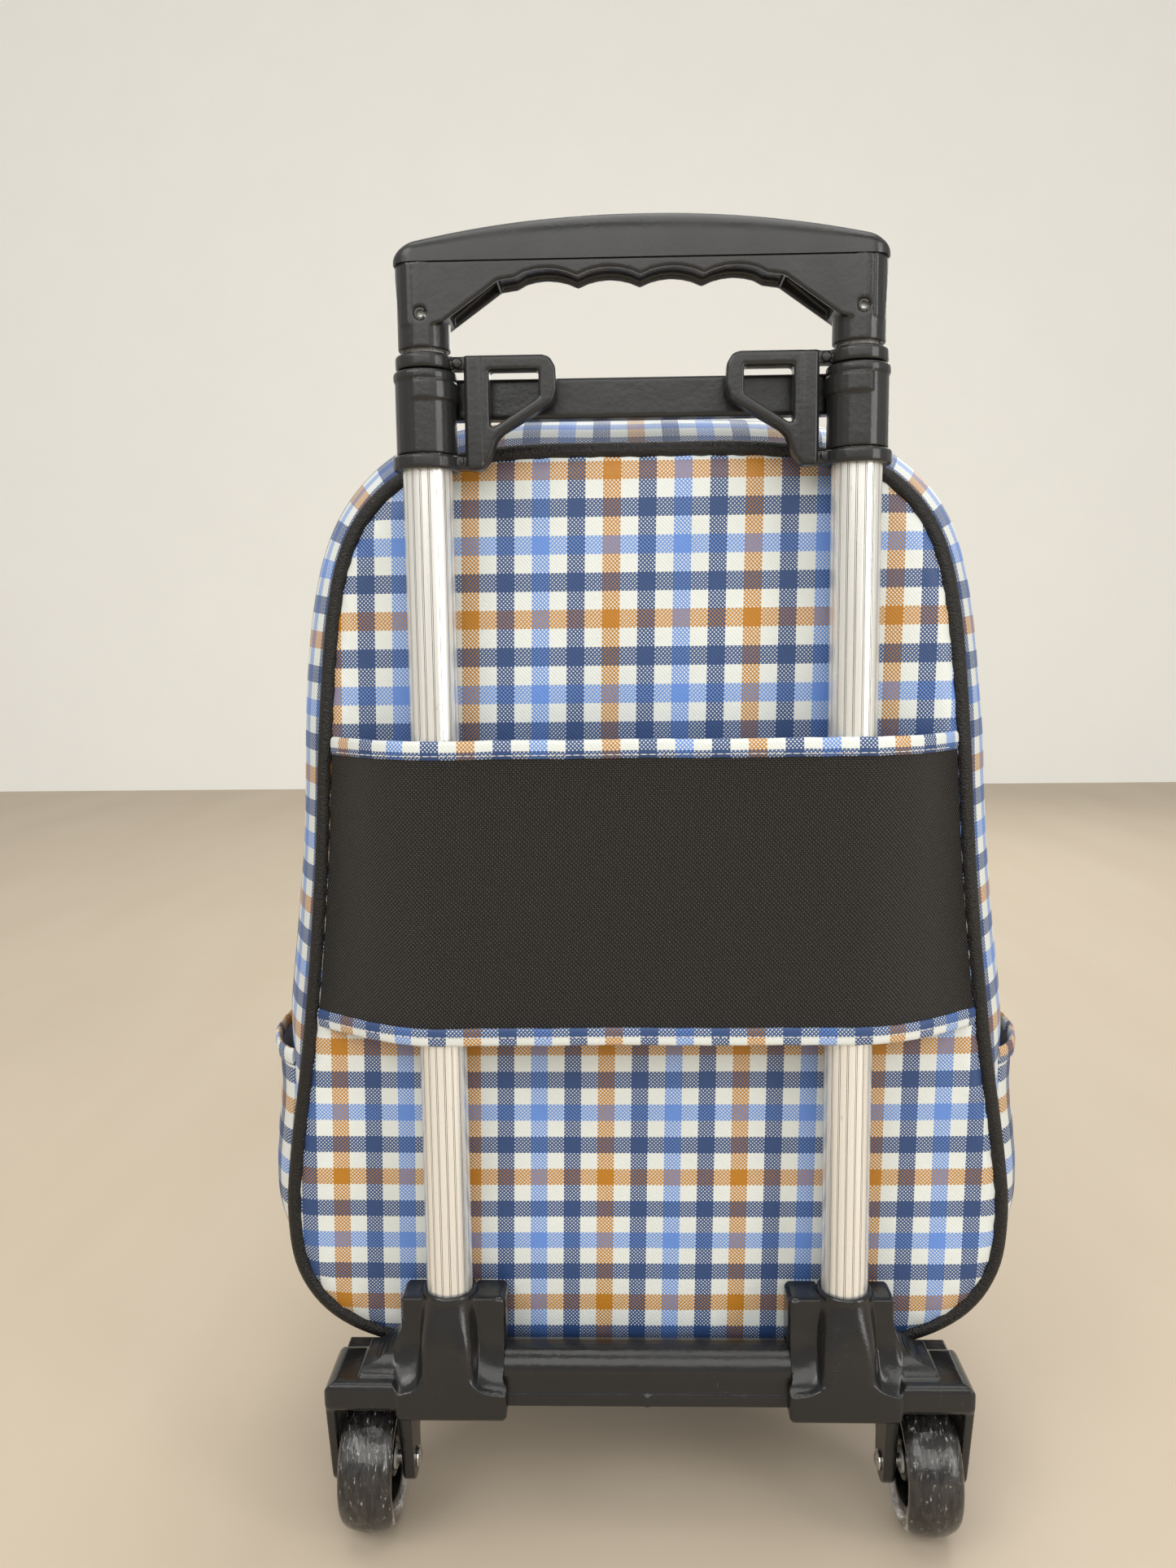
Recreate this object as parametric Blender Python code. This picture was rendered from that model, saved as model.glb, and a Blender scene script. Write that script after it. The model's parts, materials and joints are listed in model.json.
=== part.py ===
"""Shopping trolley: a telescopic two-tube frame on two wheels, with a soft bag sleeved over the tubes.

Metres, +Z up. +X is the user's right, -Y is the user's side, +Y is the side of the bag.
The origin is on the floor under the middle of the whole trolley. Every outline below is written in
millimetres in the tube frame, whose Y is zero on the plane of the two tubes' axes, and the empty
"trolley_frame" carries that frame to its place.
"""

import math

import bmesh
import bpy
from mathutils import Matrix, Vector

MM = 0.001
GAP = 0.3                      # clearance between pieces that touch
TUBE_FRAME_Y = -93.05          # tube plane, measured from the middle of the trolley

# Tubes and telescopic handle
TUBE_X = 86.0                  # half the spacing of the two tubes
TUBE_R = 10.0
TUBE_WALL = 1.0
TUBE_BOTTOM = 76.0
TUBE_TOP = 493.5
FLUTES = 18
FLUTE_DEPTH = 0.35
INNER_TUBE_R = 8.0
INNER_TUBE_BOTTOM = 132.0
INNER_TUBE_TOP = 529.0
SLIDE_FIT = 0.1                # radial clearance of the sliding bush

# Handle grip
SEAM_Z = 537.5                 # joint line of the grip body and its top cover
GRIP_HALF_X = 97.0
GRIP_HALF_Y = 9.8
GRIP_TOP = 555.5
GRIP_END_TOP = 544.5
LEG_R = 10.5
LEG_BOTTOM = 505.2
FINGER_PITCH = 24.7
FINGER_CREST_Z = 534.2
FINGER_CUSP_Z = 531.2
FINGERS = 4
PIN_Z = 518.0
PIN_R = 2.3

# Upper sockets, hooks and crossbar
SOCKET_R = 12.2
SOCKET_BOTTOM = 464.9
SOCKET_TOP = 497.2
NECK_R = 9.3
NECK_TOP = 504.2
RING_HEIGHT = 5.5
HOOK_TOP = 503.2
HOOK_BOTTOM = 458.9
HOOK_HALF_Y = 4.5
BAR_Y = (7.2, 16.5)
BAR_Z = (480.5, 496.5)

# Base
WHEEL_R = 29.5
WHEEL_X = 121.5                # middle of the tyre
WHEEL_HALF_X = 11.5
AXLE_R = 3.0
HUB_R = 20.5
BLOCK_X = (60.5, 108.5)
BLOCK_Y = (-18.5, 11.5)
BLOCK_Z = (58.5, 73.5)
COLUMN_TOP = 111.0
WING_TOP = 108.0
WING_FRONT_Y = -6.0
HOOD_OUT_X = 139.5
HOOD_Z = (62.0, 75.5)
HOOD_BACK_Y = 33.0
DECK_Z = 65.5                  # top of the load platform
DECK_Y = (21.5, 184.0)
DECK_HALF_X = 98.0
HINGE_Y = 16.3
HINGE_Z = 60.3
STAND_Y = (146.0, 162.0)

# Bag
PIPING_R = 3.5
PIPING_Y = 18.2
PANEL_Y = (13.5, 16.5)
SHELL = 2.6                    # thickness of the padded sides
ZIP_Y = 150.0                  # depth at which the zip runs around the sides and the flap parts from them
BELLY_Z = (170.0, 225.0)       # the sides stand out less below this stretch, where the pockets are
BELLY_SHARE = 0.6
FLAP_HINGE_Z = 236.0
FLAP_HINGE_Y = 192.0
POCKET_FRONT_Y = 211.5
POCKET_Z = (104.0, 204.0)      # side pockets
POCKET_Y = (36.0, 128.0)
POCKET_DEPTH = 7.5
POCKET_CLEAR = 2.4
BAND_Z = (223.0, 351.0)
BINDING = 8.0
BAND_CLEAR = 0.5               # space between the tubes and the band
# Right half of the rear piping's centre line, from the middle of the top down to the middle of the base
BAG_OUTLINE = [
    (0, 469), (55, 468.3), (91, 462), (110, 450), (123, 431), (130.5, 402), (135.5, 355), (140, 290),
    (147.5, 220), (155.5, 165), (158, 135), (154.5, 109), (141, 89.5), (117, 77.5), (89, 72.6), (0, 71.5),
]
# Depth of each section of the sides, and how far it stands out from the rear piping's line
SIDE_SECTIONS = [(22.0, 0.5), (32.0, 10.0), (48.0, 17.0), (70.0, 21.5), (98.0, 23.0), (126.0, 21.0), (149.4, 16.0)]
FRONT_SECTIONS = [(150.6, 15.6), (168.0, 10.5), (181.0, 3.0), (187.0, -6.0), (190.0, -22.0)]

BLACK = (0.022, 0.022, 0.024)


def clear_scene():
    for obj in list(bpy.data.objects):
        bpy.data.objects.remove(obj)


def material(name, color, roughness, metallic=0.0, alpha=1.0):
    made = bpy.data.materials.new(name)
    made.use_nodes = True
    shader = made.node_tree.nodes["Principled BSDF"]
    shader.inputs["Base Color"].default_value = (*color, 1.0)
    shader.inputs["Roughness"].default_value = roughness
    shader.inputs["Metallic"].default_value = metallic
    shader.inputs["Alpha"].default_value = alpha
    return made


# ---------------------------------------------------------------- building helpers


def mesh_object(name, bm, smooth_angle=None):
    """An object in the tube frame from a bmesh in millimetres."""
    bmesh.ops.remove_doubles(bm, verts=bm.verts, dist=1e-4)
    bmesh.ops.recalc_face_normals(bm, faces=bm.faces)
    bmesh.ops.scale(bm, vec=(MM, MM, MM), verts=bm.verts)
    mesh = bpy.data.meshes.new(name)
    bm.to_mesh(mesh)
    bm.free()
    obj = bpy.data.objects.new(name, mesh)
    bpy.context.scene.collection.objects.link(obj)
    if smooth_angle:
        mesh.shade_smooth()
        mesh.set_sharp_from_angle(angle=math.radians(smooth_angle))
    return obj


def apply_modifiers(obj):
    graph = bpy.context.evaluated_depsgraph_get()
    mesh = bpy.data.meshes.new_from_object(obj.evaluated_get(graph))
    obj.modifiers.clear()
    obj.data = mesh


def combine(obj, tool, operation):
    """Joins or cuts with another object, which is used up."""
    modifier = obj.modifiers.new("boolean", "BOOLEAN")
    modifier.operation = operation
    modifier.object = tool
    apply_modifiers(obj)
    bpy.data.objects.remove(tool)


def join(obj, *tools):
    for tool in tools:
        combine(obj, tool, "UNION")


def cut(obj, *tools):
    for tool in tools:
        combine(obj, tool, "DIFFERENCE")


def bevel(obj, width, segments=2, angle=35):
    modifier = obj.modifiers.new("bevel", "BEVEL")
    modifier.width = width * MM
    modifier.segments = segments
    modifier.limit_method = "ANGLE"
    modifier.angle_limit = math.radians(angle)
    modifier.harden_normals = False
    apply_modifiers(obj)


def box(name, xs, ys, zs):
    bm = bmesh.new()
    bmesh.ops.create_cube(bm, size=1.0)
    size = Vector((abs(xs[1] - xs[0]), abs(ys[1] - ys[0]), abs(zs[1] - zs[0])))
    middle = Vector((sum(xs) / 2, sum(ys) / 2, sum(zs) / 2))
    bmesh.ops.scale(bm, vec=size, verts=bm.verts)
    bmesh.ops.translate(bm, vec=middle, verts=bm.verts)
    return mesh_object(name, bm)


def prism(name, points, start, length, axis):
    """A flat outline pushed out along an axis. Points are (x, z) for Y, (y, z) for X and (x, y) for Z."""
    place = {
        "X": lambda a, b: (start, a, b),
        "Y": lambda a, b: (a, start, b),
        "Z": lambda a, b: (a, b, start),
    }[axis]
    push = {"X": (length, 0, 0), "Y": (0, length, 0), "Z": (0, 0, length)}[axis]
    bm = bmesh.new()
    face = bm.faces.new([bm.verts.new(place(a, b)) for a, b in points])
    moved = bmesh.ops.extrude_face_region(bm, geom=[face])["geom"]
    bmesh.ops.translate(bm, vec=push, verts=[v for v in moved if isinstance(v, bmesh.types.BMVert)])
    return mesh_object(name, bm)


def turned(name, profile, centre, axis="Z", steps=24):
    """A closed profile of (radius, height) points turned about an axis through a centre."""
    bm = bmesh.new()
    points = [bm.verts.new((radius, 0, height)) for radius, height in profile]
    edges = [bm.edges.new((a, b)) for a, b in zip(points, points[1:] + points[:1])]
    bmesh.ops.spin(
        bm, geom=points + edges, cent=(0, 0, 0), axis=(0, 0, 1), angle=math.tau, steps=steps, use_merge=True
    )
    bmesh.ops.remove_doubles(bm, verts=bm.verts, dist=1e-3)
    loose = [edge for edge in bm.edges if not edge.link_faces]
    bmesh.ops.delete(bm, geom=loose, context="EDGES")
    turn = {"Z": Matrix(), "X": Matrix.Rotation(math.pi / 2, 4, "Y"), "Y": Matrix.Rotation(-math.pi / 2, 4, "X")}
    bmesh.ops.transform(bm, matrix=turn[axis], verts=bm.verts)
    bmesh.ops.translate(bm, vec=centre, verts=bm.verts)
    return mesh_object(name, bm, smooth_angle=40)


def cylinder(name, radius, low, high, centre, axis="Z", steps=24):
    """A plain cylinder, from low to high along its axis."""
    bm = bmesh.new()
    bmesh.ops.create_cone(
        bm, cap_ends=True, segments=steps, radius1=radius, radius2=radius, depth=high - low
    )
    bmesh.ops.translate(bm, vec=(0, 0, (low + high) / 2), verts=bm.verts)
    turn = {"Z": Matrix(), "X": Matrix.Rotation(math.pi / 2, 4, "Y"), "Y": Matrix.Rotation(-math.pi / 2, 4, "X")}
    bmesh.ops.transform(bm, matrix=turn[axis], verts=bm.verts)
    bmesh.ops.translate(bm, vec=centre, verts=bm.verts)
    return mesh_object(name, bm, smooth_angle=40)


def smooth_line(points, steps):
    """A Catmull-Rom line through the points, with a number of steps between each two."""
    padded = [points[0]] + list(points) + [points[-1]]
    line = []
    for before, a, b, after in zip(padded, padded[1:], padded[2:], padded[3:]):
        for step in range(steps):
            t = step / steps
            line.append(
                tuple(
                    0.5 * (2 * q + (r - p) * t + (2 * p - 5 * q + 4 * r - s) * t * t + (3 * q - p - 3 * r + s) * t**3)
                    for p, q, r, s in zip(before, a, b, after)
                )
            )
    line.append(tuple(points[-1]))
    return line


def mirror_outline(points):
    """Closes a right half, given from top to bottom on the middle line, with its left half."""
    return list(points) + [(-x, z) for x, z in reversed(points[1:-1])]


def loft(name, rings, closed_start=False, closed_end=False):
    """A skin over rings of the same number of points, with flat ends where asked."""
    bm = bmesh.new()
    rows = [[bm.verts.new(point) for point in ring] for ring in rings]
    count = len(rings[0])
    for row, following in zip(rows, rows[1:]):
        for i in range(count):
            j = (i + 1) % count
            bm.faces.new((row[i], row[j], following[j], following[i]))
    if closed_start:
        bm.faces.new(rows[0])
    if closed_end:
        bm.faces.new(rows[-1])
    return mesh_object(name, bm, smooth_angle=50)


def thicken(obj, thickness):
    """Gives a skin a thickness on its inner side."""
    modifier = obj.modifiers.new("thickness", "SOLIDIFY")
    modifier.thickness = thickness * MM
    modifier.offset = -1.0
    modifier.use_even_offset = True
    apply_modifiers(obj)


def tube_along(name, points, radius, cyclic=False, resolution=2):
    """A round piece along a line of points, with closed ends."""
    curve = bpy.data.curves.new(name, "CURVE")
    curve.dimensions = "3D"
    curve.bevel_depth = radius * MM
    curve.bevel_resolution = resolution
    curve.use_fill_caps = not cyclic
    curve.twist_mode = "MINIMUM"
    spline = curve.splines.new("POLY")
    spline.points.add(len(points) - 1)
    for place, point in zip(spline.points, points):
        place.co = (*(Vector(point) * MM), 1.0)
    spline.use_cyclic_u = cyclic
    obj = bpy.data.objects.new(name, curve)
    bpy.context.scene.collection.objects.link(obj)
    return obj


def arc(centre, radius, start, end, steps):
    """Points on a circle, with the angles in degrees."""
    angles = [math.radians(start + (end - start) * i / steps) for i in range(steps + 1)]
    return [(centre[0] + radius * math.cos(a), centre[1] + radius * math.sin(a)) for a in angles]


def finish_node(obj, name, mat, parent, pivot=None):
    """Names a piece, gives it its material and hangs it on its parent, with its origin on its pivot."""
    obj.name = name
    obj.data.name = name
    obj.data.materials.clear()
    obj.data.materials.append(mat)
    if pivot is not None:
        point = Vector(pivot) * MM
        obj.data.transform(Matrix.Translation(-point))
        obj.location = point
    obj.parent = parent
    return obj


# ---------------------------------------------------------------- frame


def fluted_outline(radius, depth, flutes):
    """A circle with a narrow groove at each flute."""
    points = []
    pitch = 360 / flutes
    for flute in range(flutes):
        start = flute * pitch
        for share, drop in ((0.0, depth), (0.08, 0.0), (0.36, 0.0), (0.64, 0.0), (0.92, 0.0)):
            angle = math.radians(start + share * pitch)
            points.append(((radius - drop) * math.cos(angle), (radius - drop) * math.sin(angle)))
    return points


def outer_tube(side):
    x = side * TUBE_X
    outline = [(x + a, b) for a, b in fluted_outline(TUBE_R, FLUTE_DEPTH, FLUTES)]
    tube = prism("outer_tube", outline, TUBE_BOTTOM, TUBE_TOP - TUBE_BOTTOM, "Z")
    cut(tube, cylinder("bore", TUBE_R - TUBE_WALL, TUBE_BOTTOM - 1, TUBE_TOP + 1, (x, 0, 0)))
    return tube


def upper_socket(side):
    """The moulded sleeve on a tube's top, with a neck that guides the inner tube and carries the hook's ring."""
    bore = TUBE_R + GAP
    profile = [
        (bore, SOCKET_BOTTOM), (SOCKET_R, SOCKET_BOTTOM), (SOCKET_R, SOCKET_TOP - 4.2),
        (SOCKET_R + 0.6, SOCKET_TOP - 3.4), (SOCKET_R + 0.6, SOCKET_TOP - 1.0), (SOCKET_R - 0.4, SOCKET_TOP),
        (NECK_R, SOCKET_TOP), (NECK_R, NECK_TOP), (INNER_TUBE_R + GAP, NECK_TOP),
        (INNER_TUBE_R + GAP, TUBE_TOP + GAP), (bore, TUBE_TOP + GAP),
    ]
    socket = turned("upper_socket", profile, (side * TUBE_X, 0, 0), steps=28)
    # A raised half band faces the user and the middle
    inward = 180 if side > 0 else 0
    turn = 1 if side > 0 else -1
    outer = arc((side * TUBE_X, 0), SOCKET_R + 0.9, inward - turn * 8, inward + turn * 105, 8)
    inner = arc((side * TUBE_X, 0), SOCKET_R - 1.0, inward + turn * 105, inward - turn * 8, 8)
    join(socket, prism("band", outer + inner, SOCKET_TOP - 11.5, 7.0, "Z"))
    return socket


def upper_crossbar():
    """The flat bar behind the hooks, cradled on the backs of the two sockets."""
    bar = box("upper_crossbar", (-TUBE_X - 5, TUBE_X + 5), BAR_Y, BAR_Z)
    bevel(bar, 1.2, 2)
    for side in (-1, 1):
        cut(bar, cylinder("seat", SOCKET_R + 1.3, BAR_Z[0] - 2, BAR_Z[1] + 2, (side * TUBE_X, 0, 0), steps=32))
    return bar


def cradle_screw(side):
    """The screw that holds the crossbar's end, its dome sunk in the crossbar's back."""
    x = side * (TUBE_X + 1.0)
    profile = [(0, 0), (3.2, 0), (3.0, 0.8), (1.8, 1.5), (0, 1.7)]
    return turned("screw", profile, (x, BAR_Y[1] + GAP, sum(BAR_Z) / 2), axis="Y", steps=16)


# ---------------------------------------------------------------- hooks


def hook(side):
    """A swivel hook: two rings on the tube, a post beside the socket and an open triangular plate."""
    x0 = side * TUBE_X
    inward = -side
    plate_out = [
        (17.0, HOOK_BOTTOM), (22.5, HOOK_BOTTOM), (25.5, HOOK_BOTTOM + 4), (28.5, HOOK_BOTTOM + 12),
        (31.0, HOOK_BOTTOM + 14.5), (51.0, 485.0), (52.6, 490.0), (52.2, 498.5), (50.0, 502.3), (47.0, HOOK_TOP),
        (15.8, HOOK_TOP), (15.8, HOOK_BOTTOM + 1.2),
    ]
    plate = prism("hook", [(x0 + inward * a, z) for a, z in plate_out], -HOOK_HALF_Y, 2 * HOOK_HALF_Y, "Y")
    window = [(25.8, 497.6), (45.4, 497.6), (45.4, 487.0), (27.2, 475.4), (25.8, 476.4)]
    cut(plate, prism("window", [(x0 + inward * a, z) for a, z in window], -20, 40, "Y"))
    bevel(plate, 1.3, 1, angle=30)
    for low, bore, outer in ((HOOK_BOTTOM, TUBE_R + GAP, 13.8), (HOOK_TOP - RING_HEIGHT, NECK_R + GAP, 11.8)):
        high = low + RING_HEIGHT
        arm_start = outer - 1.2
        arm = box(
            "arm", (x0 + inward * arm_start, x0 + inward * 18), (-HOOK_HALF_Y + 0.7, HOOK_HALF_Y - 0.7),
            (low + 0.4, high - 0.4),
        )
        ring = turned(
            "ring", [(bore, low), (outer - 0.6, low), (outer, low + 0.7), (outer, high - 0.7),
                     (outer - 0.6, high), (bore, high)], (x0, 0, 0), steps=24,
        )
        join(plate, arm, ring)
    return plate


# ---------------------------------------------------------------- handle


def grip_underside(lift=0.0):
    """The lower edge of the grip from left leg to right leg: finger arches between two slanting webs."""
    half = FINGERS * FINGER_PITCH / 2
    points = [(-83.0, 513.8), (-77.5, 514.6), (-55.5, 530.0), (-half + 0.6, 531.0)]
    for finger in range(FINGERS):
        start = -half + finger * FINGER_PITCH
        for i in range(1, 6):
            share = i / 6
            rise = math.sin(math.pi * share) ** 0.8
            points.append((start + share * FINGER_PITCH, FINGER_CUSP_Z + (FINGER_CREST_Z - FINGER_CUSP_Z) * rise))
        if finger < FINGERS - 1:
            points.append((start + FINGER_PITCH, FINGER_CUSP_Z))
    points += [(half - 0.6, 531.0), (55.5, 530.0), (77.5, 514.6), (83.0, 513.8)]
    return [(x, z + lift) for x, z in points]


def grip_body():
    """The lower half of the grip, moulded in one with the two legs that hold the inner tubes."""
    under = grip_underside()
    outline = [(-GRIP_HALF_X + 2, 513.8)] + under + [(GRIP_HALF_X - 2, 513.8), (GRIP_HALF_X, SEAM_Z), (-GRIP_HALF_X, SEAM_Z)]
    grip = prism("handle_grip", outline, -GRIP_HALF_Y, 2 * GRIP_HALF_Y, "Y")
    channel = grip_underside(lift=2.2)[2:-2]
    trough = [(channel[0][0], 500)] + channel + [(channel[-1][0], 500)]
    cut(grip, prism("channel", trough, -GRIP_HALF_Y + 2.6, 2 * GRIP_HALF_Y - 5.2, "Y"))
    for side in (-1, 1):
        x = side * TUBE_X
        corner = prism(
            "corner",
            [(side * 90, GRIP_HALF_Y + 2), (side * 99, GRIP_HALF_Y + 2), (side * 99, -GRIP_HALF_Y - 2),
             (side * 90, -GRIP_HALF_Y - 2)] + [(x + side * a, b) for a, b in arc((0, 0), 10.9, -62, 62, 8)],
            500, 45, "Z",
        )
        cut(grip, corner)
        join(grip, cylinder("leg", LEG_R, LEG_BOTTOM, SEAM_Z - 0.01, (x, 0, 0)))
        cut(grip, cylinder("bore", INNER_TUBE_R + GAP, LEG_BOTTOM - 2, INNER_TUBE_TOP + GAP, (x, 0, 0)))
        cut(grip, cylinder("pin_hole", PIN_R + GAP, -15, 15, (x, 0, PIN_Z), axis="Y", steps=12))
    return grip


def cover_top(x):
    """Height of the cover's arched top."""
    share = abs(x) / GRIP_HALF_X
    return GRIP_TOP - (GRIP_TOP - GRIP_END_TOP) * share**2.1


def top_cover():
    """The arched upper half of the grip, domed across and rounded off at both ends."""
    stations = 20
    rings = []
    for i in range(stations + 1):
        angle = math.pi * (i / stations)
        x = -GRIP_HALF_X * math.cos(angle) if 0 < i < stations else math.copysign(GRIP_HALF_X, i - stations / 2)
        from_end = GRIP_HALF_X - abs(x)
        round_off = math.sqrt(max(0.0, 1 - max(0.0, 1 - from_end / 9.0) ** 2))
        half_y = (LEG_R - 0.2) * (0.35 + 0.65 * round_off)
        height = (cover_top(x) - SEAM_Z - GAP) * (0.2 + 0.8 * round_off)
        base = SEAM_Z + GAP
        side = [(-1.0, 0.0), (-1.0, 0.35), (-0.95, 0.62), (-0.76, 0.86), (-0.42, 0.97), (0.0, 1.0)]
        ring = side + [(-a, b) for a, b in reversed(side[:-1])]
        rings.append([(x, a * half_y, base + b * height) for a, b in ring])
    return loft("handle_top_cover", rings, True, True)


def roll_pin(side):
    """A slotted spring pin through the leg and the inner tube."""
    x = side * TUBE_X
    wall = [(x + a, PIN_Z + b) for a, b in arc((0, 0), PIN_R, 35, 325, 14)]
    wall += [(x + a, PIN_Z + b) for a, b in arc((0, 0), PIN_R - 0.8, 325, 35, 14)]
    return prism("roll_pin", wall, -LEG_R + 0.7, 2 * LEG_R - 1.4, "Y")


def inner_tube(side):
    x = side * TUBE_X
    tube = turned(
        "inner_tube",
        [(INNER_TUBE_R - 1.0, INNER_TUBE_BOTTOM), (INNER_TUBE_R, INNER_TUBE_BOTTOM),
         (INNER_TUBE_R, INNER_TUBE_TOP), (INNER_TUBE_R - 1.0, INNER_TUBE_TOP)],
        (x, 0, 0), steps=20,
    )
    cut(tube, cylinder("pin_hole", PIN_R + GAP, -15, 15, (x, 0, PIN_Z), axis="Y", steps=12))
    cut(tube, cylinder("button_hole", 2.8, 0, 12, (x, 0, INNER_TUBE_BOTTOM + 30), axis="Y", steps=12))
    return tube


def slide_bush(side):
    """The nylon bush that closes the inner tube's lower end and slides in the outer tube."""
    low = INNER_TUBE_BOTTOM
    outer = TUBE_R - TUBE_WALL - SLIDE_FIT
    profile = [
        (0, low - 8), (outer - 0.8, low - 8), (outer, low - 7), (outer, low - GAP),
        (INNER_TUBE_R - 1.0 - GAP, low - GAP), (INNER_TUBE_R - 1.0 - GAP, low + 14), (0, low + 14),
    ]
    return turned("slide_bush", profile, (side * TUBE_X, 0, 0), steps=20)


def detent_spring(side):
    """The bent leaf spring inside the inner tube that pushes the detent button out."""
    x = side * TUBE_X
    low = INNER_TUBE_BOTTOM + 15
    path = [(-5.2, low + 22), (-5.2, low + 5), (-3.0, low + 1), (1.6, low + 1), (3.4, low + 5), (3.8, low + 22)]
    back = [(y + (0.6 if y < 0 else -0.6), z + 0.6) for y, z in path]
    return prism("detent_spring", path + back[::-1], x - 2.5, 5.0, "X")


def detent_button(side):
    """The button that snaps into the outer tube when the handle is drawn out, pressed in while it is down."""
    profile = [(0, 4.2), (3.4, 4.2), (3.4, 5.4), (2.4, 5.4), (2.4, 7.6), (1.6, 8.5), (0, 8.7)]
    return turned(
        "detent_button", profile, (side * TUBE_X, 0, INNER_TUBE_BOTTOM + 30), axis="Y", steps=16
    )


# ---------------------------------------------------------------- base and wheels


def fork_leg(x_low, x_high, top_y):
    """A wheel leg, tapering down to a round end at the axle."""
    round_end = arc((0, WHEEL_R), 9.0, 180 + 18, 360 - 18, 8)
    outline = [(-top_y[0], HOOD_Z[0] + 2.1)] + round_end + [(top_y[1], HOOD_Z[0] + 2.1)]
    return prism("leg", outline, x_low, x_high - x_low, "X")


def wheel_housing(side):
    """The moulded corner of the base: tube column, wings, crossbar seat, wheel hood and fork."""

    def span(a, b):
        return sorted((side * a, side * b))

    housing = box("wheel_housing", span(*BLOCK_X), BLOCK_Y, BLOCK_Z)
    bevel(housing, 1.4, 1)
    x = side * TUBE_X
    column = turned(
        "column",
        [(0, 60), (13.6, 60), (13.0, 78), (12.1, 92), (12.1, COLUMN_TOP - 1), (11.3, COLUMN_TOP), (0, COLUMN_TOP)],
        (x, 0, 0), steps=26,
    )
    inner_wing = box("wing", span(BLOCK_X[0] + 0.7, 76), (WING_FRONT_Y, BLOCK_Y[1] - 0.6), (61.1, WING_TOP))
    outer_wing = box("wing", span(96, 107), (WING_FRONT_Y, BLOCK_Y[1] - 0.6), (61.1, WING_TOP))
    bevel(inner_wing, 1.6, 1)
    bevel(outer_wing, 1.6, 1)
    apron_profile = [(WING_FRONT_Y + 2, 62.2), (WING_FRONT_Y + 2, 99)]
    apron_profile += arc((BLOCK_Y[0] - 3.5, 99), 15.5, 0, -72, 8) + [(BLOCK_Y[0] + 1, 72), (BLOCK_Y[0] + 1, 62.2)]
    apron = prism("apron", apron_profile, span(BLOCK_X[0] + 1.5, 106)[0], 106 - BLOCK_X[0] - 1.5, "X")
    hood = box("hood", span(106.5, HOOD_OUT_X), (-18.0, 12.0), HOOD_Z)
    bevel(hood, 3.0, 2)
    tail = box("tail", span(107.3, HOOD_OUT_X - 0.8), (9, HOOD_BACK_Y), (HOOD_Z[0] + 0.7, DECK_Z + 0.5))
    sweep_profile = [(side * 104, 64), (side * 104, 99)]
    sweep_profile += [(side * (126.5 + a), 99 + b) for a, b in arc((0, 0), 20.5, 180, 262, 8)]
    sweep_profile += [(side * 126, 72), (side * 126, 64)]
    if side > 0:
        sweep_profile.reverse()
    sweep = prism("sweep", sweep_profile, -13.0, 24.0, "Y")
    outer_leg = fork_leg(*span(134.7, HOOD_OUT_X - 0.5), (16.5, 30.0))
    inner_leg = fork_leg(*span(102.5, 107.9), (15.0, 10.2))
    join(housing, column, inner_wing, outer_wing, apron, hood, tail, sweep, outer_leg, inner_leg)
    cut(
        housing,
        cylinder("bore", TUBE_R + GAP, TUBE_BOTTOM - GAP, COLUMN_TOP + 3, (x, 0, 0)),
        cylinder("axle_hole", AXLE_R + GAP, *span(95, 150), (0, 0, WHEEL_R), axis="X", steps=16),
        prism("bar_seat", crossbar_profile(GAP), side * 55 if side > 0 else -67.5, 12.5, "X"),
    )
    return housing


def crossbar_profile(grow=0.0):
    """The lower crossbar's section in Y and Z: a D shape, round at the top, on a thicker lip."""
    top = arc((0, 74.5), 10.5 + grow, 0, 180, 14)
    lip = [(-10.5 - grow, 67.0 + grow), (-11.4 - grow, 66.6 + grow), (-11.4 - grow, 61.0 - grow)]
    return top + lip + [(10.5 + grow, 61.0 - grow)]


def lower_crossbar():
    """The round-topped bar between the two housings, with the lugs of the platform's hinge."""
    bar = prism("lower_crossbar", crossbar_profile(), -67.2, 134.4, "X")
    for x in (-52.0, -29.0, 29.0, 52.0):
        lug = prism(
            "lug",
            [(4, 62), (4, HINGE_Z + 4.6), (HINGE_Y, HINGE_Z + 4.6)]
            + arc((HINGE_Y, HINGE_Z), 4.6, 90, -90, 8)[1:] + [(4, HINGE_Z - 4.6)],
            x - 4, 8, "X",
        )
        cut(lug, cylinder("hole", 2.0 + GAP, x - 8, x + 8, (0, HINGE_Y, HINGE_Z), axis="X", steps=16))
        join(bar, lug)
    return bar


def platform():
    """The load platform: a stiff plate with two hinge knuckles at its rear."""
    deck = box("platform", (-DECK_HALF_X, DECK_HALF_X), DECK_Y, (54.0, DECK_Z))
    bevel(deck, 2.0, 2)
    for side in (-1, 1):
        x = side * 40.5
        knuckle = prism(
            "knuckle",
            arc((HINGE_Y, HINGE_Z), 4.6, 90, 270, 8) + [(DECK_Y[0] + 3, HINGE_Z - 4.6), (DECK_Y[0] + 3, HINGE_Z + 4.6)],
            x - 7.2, 14.4, "X",
        )
        cut(knuckle, cylinder("hole", 2.0 + GAP, x - 10, x + 10, (0, HINGE_Y, HINGE_Z), axis="X", steps=16))
        join(deck, knuckle)
    return deck


def hinge_pin(side):
    return cylinder("hinge_pin", 2.0, side * 40.5 - 17.5, side * 40.5 + 17.5, (0, HINGE_Y, HINGE_Z), axis="X", steps=16)


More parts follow.
